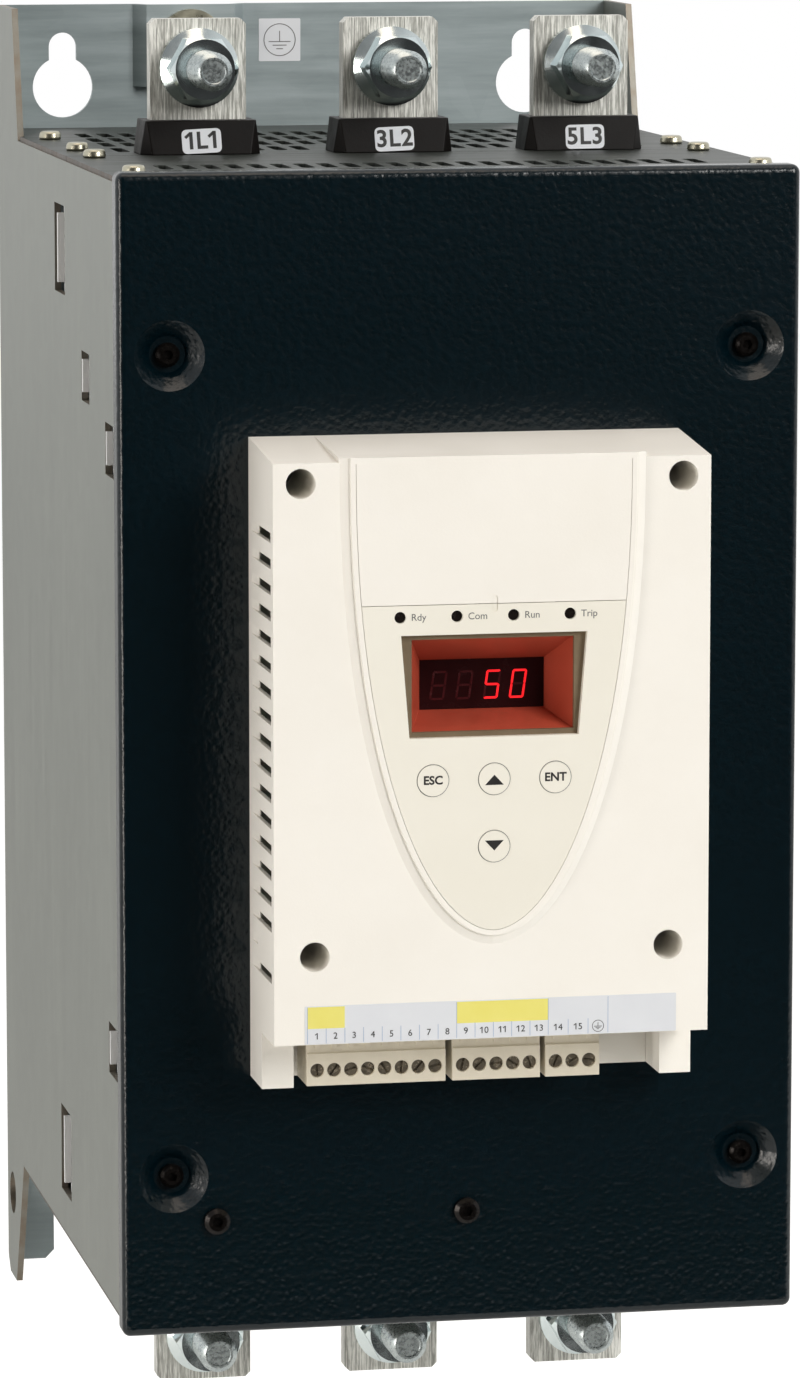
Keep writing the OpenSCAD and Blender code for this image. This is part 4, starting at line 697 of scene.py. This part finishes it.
def studPiece(spec):
    bpy.ops.object.select_all(action="DESELECT")
    bpy.ops.mesh.primitive_circle_add(vertices=spec["sides"], radius=mm(spec["crest"]), fill_type="NGON")
    shank = startPiece("studShank")
    bpy.ops.object.mode_set(mode="EDIT")
    bpy.ops.mesh.select_all(action="SELECT")
    foot = spec["barBack"] - spec["sunk"]
    place, radius = foot, spec["crest"]

    def grow(toPlace, toRadius):
        nonlocal place, radius
        bpy.ops.mesh.extrude_region_move(TRANSFORM_OT_translate={"value": (0, 0, mm(toPlace - place))})
        factor = toRadius / radius
        bpy.ops.transform.resize(value=(factor, factor, 1))
        place, radius = toPlace, toRadius

    grow(spec["shankEnd"], spec["crest"])
    turns = int((spec["end"] - spec["tip"] - spec["shankEnd"]) / spec["pitch"])
    for turn in range(turns):
        start = spec["shankEnd"] + turn * spec["pitch"]
        for share, level in spec["thread"]:
            grow(start + share * spec["pitch"], spec[level])
    grow(spec["end"] - spec["tipStep"], spec["crest"] - spec["tip"] * spec["tipShare"])
    grow(spec["end"], spec["crest"] - spec["tip"])
    grow(spec["end"], spec["dimple"])
    grow(spec["end"] - spec["tipStep"], spec["dimple"] * spec["dimpleTaper"])
    bpy.ops.mesh.select_all(action="SELECT")
    bpy.ops.mesh.normals_make_consistent(inside=False)
    bpy.ops.object.mode_set(mode="OBJECT")
    shank.location = (0, 0, mm(foot))
    bpy.ops.object.transform_apply(location=True)
    bpy.ops.object.shade_smooth_by_angle(angle=math.radians(spec["smoothAngle"]))

    headHeight = spec["barBack"] - spec["headBack"]
    bpy.ops.object.select_all(action="DESELECT")
    bpy.ops.mesh.primitive_cylinder_add(
        vertices=6, radius=mm(spec["headFlats"] / math.sqrt(3)), depth=mm(headHeight),
        location=(0, 0, mm(spec["headBack"] + headHeight / 2)))
    head = startPiece("studHead")
    bpy.ops.object.transform_apply(location=True)
    bpy.ops.object.mode_set(mode="EDIT")
    bpy.ops.mesh.select_all(action="SELECT")
    bpy.ops.mesh.bevel(offset=mm(spec["headEdge"]), segments=2, affect="EDGES")
    bpy.ops.object.mode_set(mode="OBJECT")
    piece = joinPieces("studModel", [shank, head])
    piece.rotation_euler = (math.radians(90), 0, 0)
    bpy.ops.object.transform_apply(rotation=True)
    return piece


def placeStuds(spec):
    model = studPiece(spec)
    copies = []
    for x in spec["x"]:
        for z in spec["z"]:
            copy = model.copy()
            copy.data = model.data.copy()
            scene.collection.objects.link(copy)
            copy.location = (mm(x), 0, mm(z))
            copies.append(copy)
    bpy.data.objects.remove(model)
    studs = settle(joinPieces("terminalStuds", copies), "zincPlatedStud", "starter")
    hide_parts("power_studs")


placeStuds(stud)
print("studs made")


# earth label on the back plate

earthLabel = {
    "x": (-16.2, -2.2), "z": (193.3, 207.4), "depth": 2.0, "thick": 0.12, "corner": 0.4,
    "ring": 5.4, "line": 0.28, "sign": 7.4, "signDrop": 0.6,
}


def makeEarthLabel(spec):
    x, z = sum(spec["x"]) / 2, sum(spec["z"]) / 2
    face = spec["depth"] + spec["thick"] + thin["lift"]
    plate = filmPiece("earthLabel", spec["x"], spec["z"], spec["depth"] - thin["sunk"],
                      spec["thick"] + thin["sunk"], corner=spec["corner"])
    settle(plate, "whiteLabelFilm", "starter")
    marks = earthSign("earthMark", x, z - spec["signDrop"], face, spec["sign"], spec["line"])
    marks.append(ringPiece("earthMark", x, z, face, spec["ring"] - spec["line"], spec["ring"], thin["line"]))
    settle(joinPieces("earthLabelPrint", marks), "greyPrintInk", "starter")


makeEarthLabel(earthLabel)


# phase labels on the boots

phaseLabel = {
    "x": (-60.5, 0.0, 60.5), "words": (("1L1", "3L2", "5L3"), ("2T1", "4T2", "6T3")),
    "z": (176.2, -176.2), "lean": (8.13, -8.13), "turn": (-2.6, -2.2, -0.6), "depth": 152.35,
    "size": (12.3, 7.5), "thick": 0.25, "corner": 1.5, "letters": 7.3, "lettersOff": 0.04, "weight": 0.18,
}


def makePhaseLabels(spec):
    plates, prints = [], []
    halfW, halfH = spec["size"][0] / 2, spec["size"][1] / 2
    for row in range(2):
        z, lean = spec["z"][row], spec["lean"][row]
        for x, words, turn in zip(spec["x"], spec["words"][row], spec["turn"]):
            plates.append(filmPiece("phasePlate", (x - halfW, x + halfW), (z - halfH, z + halfH),
                                    spec["depth"], spec["thick"], spec["corner"], lean, turn))
            prints += rowOfLetters(words, x, z, spec["depth"] + spec["thick"] + spec["lettersOff"],
                                   spec["letters"], spec["weight"], lean, turn)
    settle(joinPieces("phaseLabels", plates), "whiteLabelFilm", "starter")
    settle(joinPieces("phaseLabelPrint", prints), "blackPrintInk", "starter")


makePhaseLabels(phaseLabel)
print("labels on bars and back plate made")


# terminal strip under the keypad

terminalStrip = {
    "x": (-55.2, 56.2), "z": (-78.9, -67.5), "depth": 297.0, "thick": 0.12, "corner": 0.3,
    "margin": 0.3, "split": -74.2, "line": 0.16,
    "groups": ((-54.4, -9.9, 8), (-9.9, 17.6, 5), (17.6, 35.6, 3)),        # left, right, poles
    "yellow": ((-54.4, -43.3), (-9.9, 17.6)), "yellowThick": 0.02,
    "numbers": 2.7, "numbersOff": 0.03, "lastNumber": 15,
    "sign": 2.4, "signDrop": 0.1, "ring": (1.62, 1.78),
}


def makeTerminalStrip(spec):
    face = spec["depth"] + spec["thick"]
    low, high = spec["z"]
    lineLow, lineHigh = low + spec["margin"], high - spec["margin"]
    rowZ = (low + spec["split"]) / 2
    plate = filmPiece("terminalStrip", spec["x"], spec["z"], spec["depth"] - thin["sunk"],
                      spec["thick"] + thin["sunk"], corner=spec["corner"])
    settle(plate, "whiteLabelFilm", "starter")
    fields = [filmPiece("yellowField", x, (spec["split"], lineHigh), face, spec["yellowThick"])
              for x in spec["yellow"]]
    settle(joinPieces("stripYellowFields", fields), "yellowLabelFilm", "starter")
    lines, marks, count = [], [], 0
    half = spec["line"] / 2
    for start, end, poles in spec["groups"]:
        step = (end - start) / poles
        for pole in range(poles):
            edge = start + pole * step
            middle = edge + step / 2
            top = lineHigh if pole == 0 else spec["split"]
            lines.append(filmPiece("cellLine", (edge - half, edge + half), (lineLow, top), face, thin["line"]))
            count += 1
            if count <= spec["lastNumber"]:
                marks += rowOfLetters(str(count), middle, rowZ, face + spec["numbersOff"], spec["numbers"])
            else:
                ink = face + thin["lift"]
                marks += earthSign("cellEarth", middle, rowZ - spec["signDrop"], ink,
                                   spec["sign"], spec["line"])
                marks.append(ringPiece("cellEarth", middle, rowZ, ink, *spec["ring"], thin["line"]))
    last = spec["groups"][-1][1]
    lines.append(filmPiece("cellLine", (last - half, last + half), (lineLow, lineHigh), face, thin["line"]))
    settle(joinPieces("stripLines", lines), "bluePrintInk", "starter")
    settle(joinPieces("stripNumbers", marks), "blackPrintInk", "starter")


makeTerminalStrip(terminalStrip)
print("terminal strip made")


# keypad print

keypad = {
    "x": 0.8, "plate": 299.0, "keyFace": 299.3, "ring": (4.68, 4.82), "ringThick": 0.05,
    # place and legend of each key; 1 is an arrow up and -1 an arrow down
    "keys": {
        "key_escape": (-18.25, -1.6, "ESC"), "key_up": (0.0, -1.6, 1), "key_enter": (18.25, -1.6, "ENT"),
        "key_down": (0.0, -21.5, -1),
    },
    "letters": 3.5, "weight": 0.1, "arrow": (5.6, 3.0), "arrowShift": 0.25, "arrowSunk": 0.005,
}


def arrowPiece(name, x, z, sign, spec):
    width, height = spec["arrow"]
    bpy.ops.object.select_all(action="DESELECT")
    bpy.ops.mesh.primitive_circle_add(vertices=3, radius=mm(1), fill_type="NGON")
    piece = startPiece(name)
    piece.scale = (width / math.sqrt(3), height / 1.5, 1)
    bpy.ops.object.transform_apply(scale=True)
    bpy.ops.object.mode_set(mode="EDIT")
    bpy.ops.mesh.select_all(action="SELECT")
    bpy.ops.mesh.extrude_region_move(TRANSFORM_OT_translate={"value": (0, 0, mm(thin["line"]))})
    bpy.ops.mesh.select_all(action="SELECT")
    bpy.ops.mesh.normals_make_consistent(inside=False)
    bpy.ops.object.mode_set(mode="OBJECT")
    piece.rotation_euler = (math.radians(90), math.radians(0 if sign > 0 else 180), 0)
    piece.location = (mm(x), -mm(spec["keyFace"] - spec["arrowSunk"]),
                      mm(z - sign * spec["arrowShift"] * height))
    bpy.ops.object.transform_apply(location=True, rotation=True)
    return piece


def makeKeypad(spec):
    rings = []
    for name, (x, z, legend) in spec["keys"].items():
        x += spec["x"]
        rings.append(ringPiece("keyRing", x, z, spec["plate"] - thin["lift"], *spec["ring"], spec["ringThick"]))
        if isinstance(legend, str):
            mark = printPiece(name + "_print", legend, x, z, spec["keyFace"] + thin["lettersOff"],
                              spec["letters"], spec["weight"])
        else:
            mark = arrowPiece(name + "_print", x, z, legend, spec)
        settle(mark, "blackPrintInk", name + "_body")
    settle(joinPieces("keyRings", rings), "greyPrintInk", "starter")


makeKeypad(keypad)


# words beside the lamps

lampWords = {"words": ("Rdy", "Com", "Run", "Trip"), "firstX": -23.945, "pitch": 16.83, "z": 46.4,
             "depth": 299.0, "letters": 2.9}


def makeLampWords(spec):
    prints = [printPiece("lampWord", words, spec["firstX"] + i * spec["pitch"], spec["z"],
                         spec["depth"] + thin["lettersOff"], spec["letters"], align="LEFT")
              for i, words in enumerate(spec["words"])]
    settle(joinPieces("lampWords", prints), "greyPrintInk", "starter")


makeLampWords(lampWords)


# seven-segment digits

display = {
    "x": 0.8, "z": 23.7, "depth": 281.0, "offsets": (-13.0, -5.2, 3.1, 10.9), "width": 4.6, "height": 8.7,
    "bar": 0.78, "thick": 0.06, "sunk": 0.01, "slant": 8.0,
    "cornerShare": 0.12, "reachShare": 0.55, "gap": 0.15,       # shares of the bar, gap in mm
    "shown": ("", "", "acdfg", "abcdef"),
}


def segmentPiece(x, z, length, turn, spec):
    bar = spec["bar"]
    bpy.ops.object.select_all(action="DESELECT")
    bpy.ops.mesh.primitive_circle_add(vertices=4, radius=mm(bar / 2), fill_type="NGON")
    piece = startPiece("segment")
    bpy.ops.object.mode_set(mode="EDIT")
    bpy.ops.mesh.select_mode(type="VERT")
    bpy.ops.mesh.select_all(action="SELECT")
    bpy.ops.mesh.bevel(offset=mm(bar * spec["cornerShare"]), segments=1, affect="VERTICES")
    for sign in (-1, 1):        # the points move apart, and the bar gets its length
        bpy.ops.mesh.select_all(action="DESELECT")
        bpy.ops.object.mode_set(mode="OBJECT")
        for vertex in piece.data.vertices:
            vertex.select = vertex.co.x * sign > 0
        bpy.ops.object.mode_set(mode="EDIT")
        bpy.ops.transform.translate(value=(sign * mm((length - bar) / 2), 0, 0))
    bpy.ops.mesh.select_all(action="SELECT")
    bpy.ops.mesh.extrude_region_move(TRANSFORM_OT_translate={"value": (0, 0, mm(spec["thick"]))})
    bpy.ops.mesh.select_all(action="SELECT")
    bpy.ops.mesh.normals_make_consistent(inside=False)
    bpy.ops.object.mode_set(mode="OBJECT")
    piece.rotation_euler = (0, 0, math.radians(turn))
    piece.location = (mm(x), mm(z), 0)
    bpy.ops.object.transform_apply(location=True, rotation=True)
    return piece


def makeDigits(spec):
    halfW, halfH = (spec["width"] - spec["bar"]) / 2, (spec["height"] - spec["bar"]) / 2
    places = {
        "a": (0, halfH, False), "g": (0, 0, False), "d": (0, -halfH, False),
        "f": (-halfW, halfH / 2, True), "b": (halfW, halfH / 2, True),
        "e": (-halfW, -halfH / 2, True), "c": (halfW, -halfH / 2, True),
    }
    lit, dark = [], []
    for offset, shown in zip(spec["offsets"], spec["shown"]):
        for letter, (x, z, upright) in places.items():
            span = (halfH if upright else 2 * halfW) - spec["gap"]
            lean = z * math.tan(math.radians(spec["slant"]))
            piece = segmentPiece(x, z, span + spec["bar"] * spec["reachShare"],
                                 90 - spec["slant"] if upright else 0, spec)
            piece.location = (mm(spec["x"] + offset + lean), -mm(spec["depth"] - spec["sunk"]), mm(spec["z"]))
            piece.rotation_euler = (math.radians(90), 0, 0)
            (lit if letter in shown else dark).append(piece)
    settle(joinPieces("digitsLit", lit), "litSegment", "starter")
    settle(joinPieces("digitsDark", dark), "darkSegmentFilm", "starter")


makeDigits(display)
print("keypad, lamps and digits made")
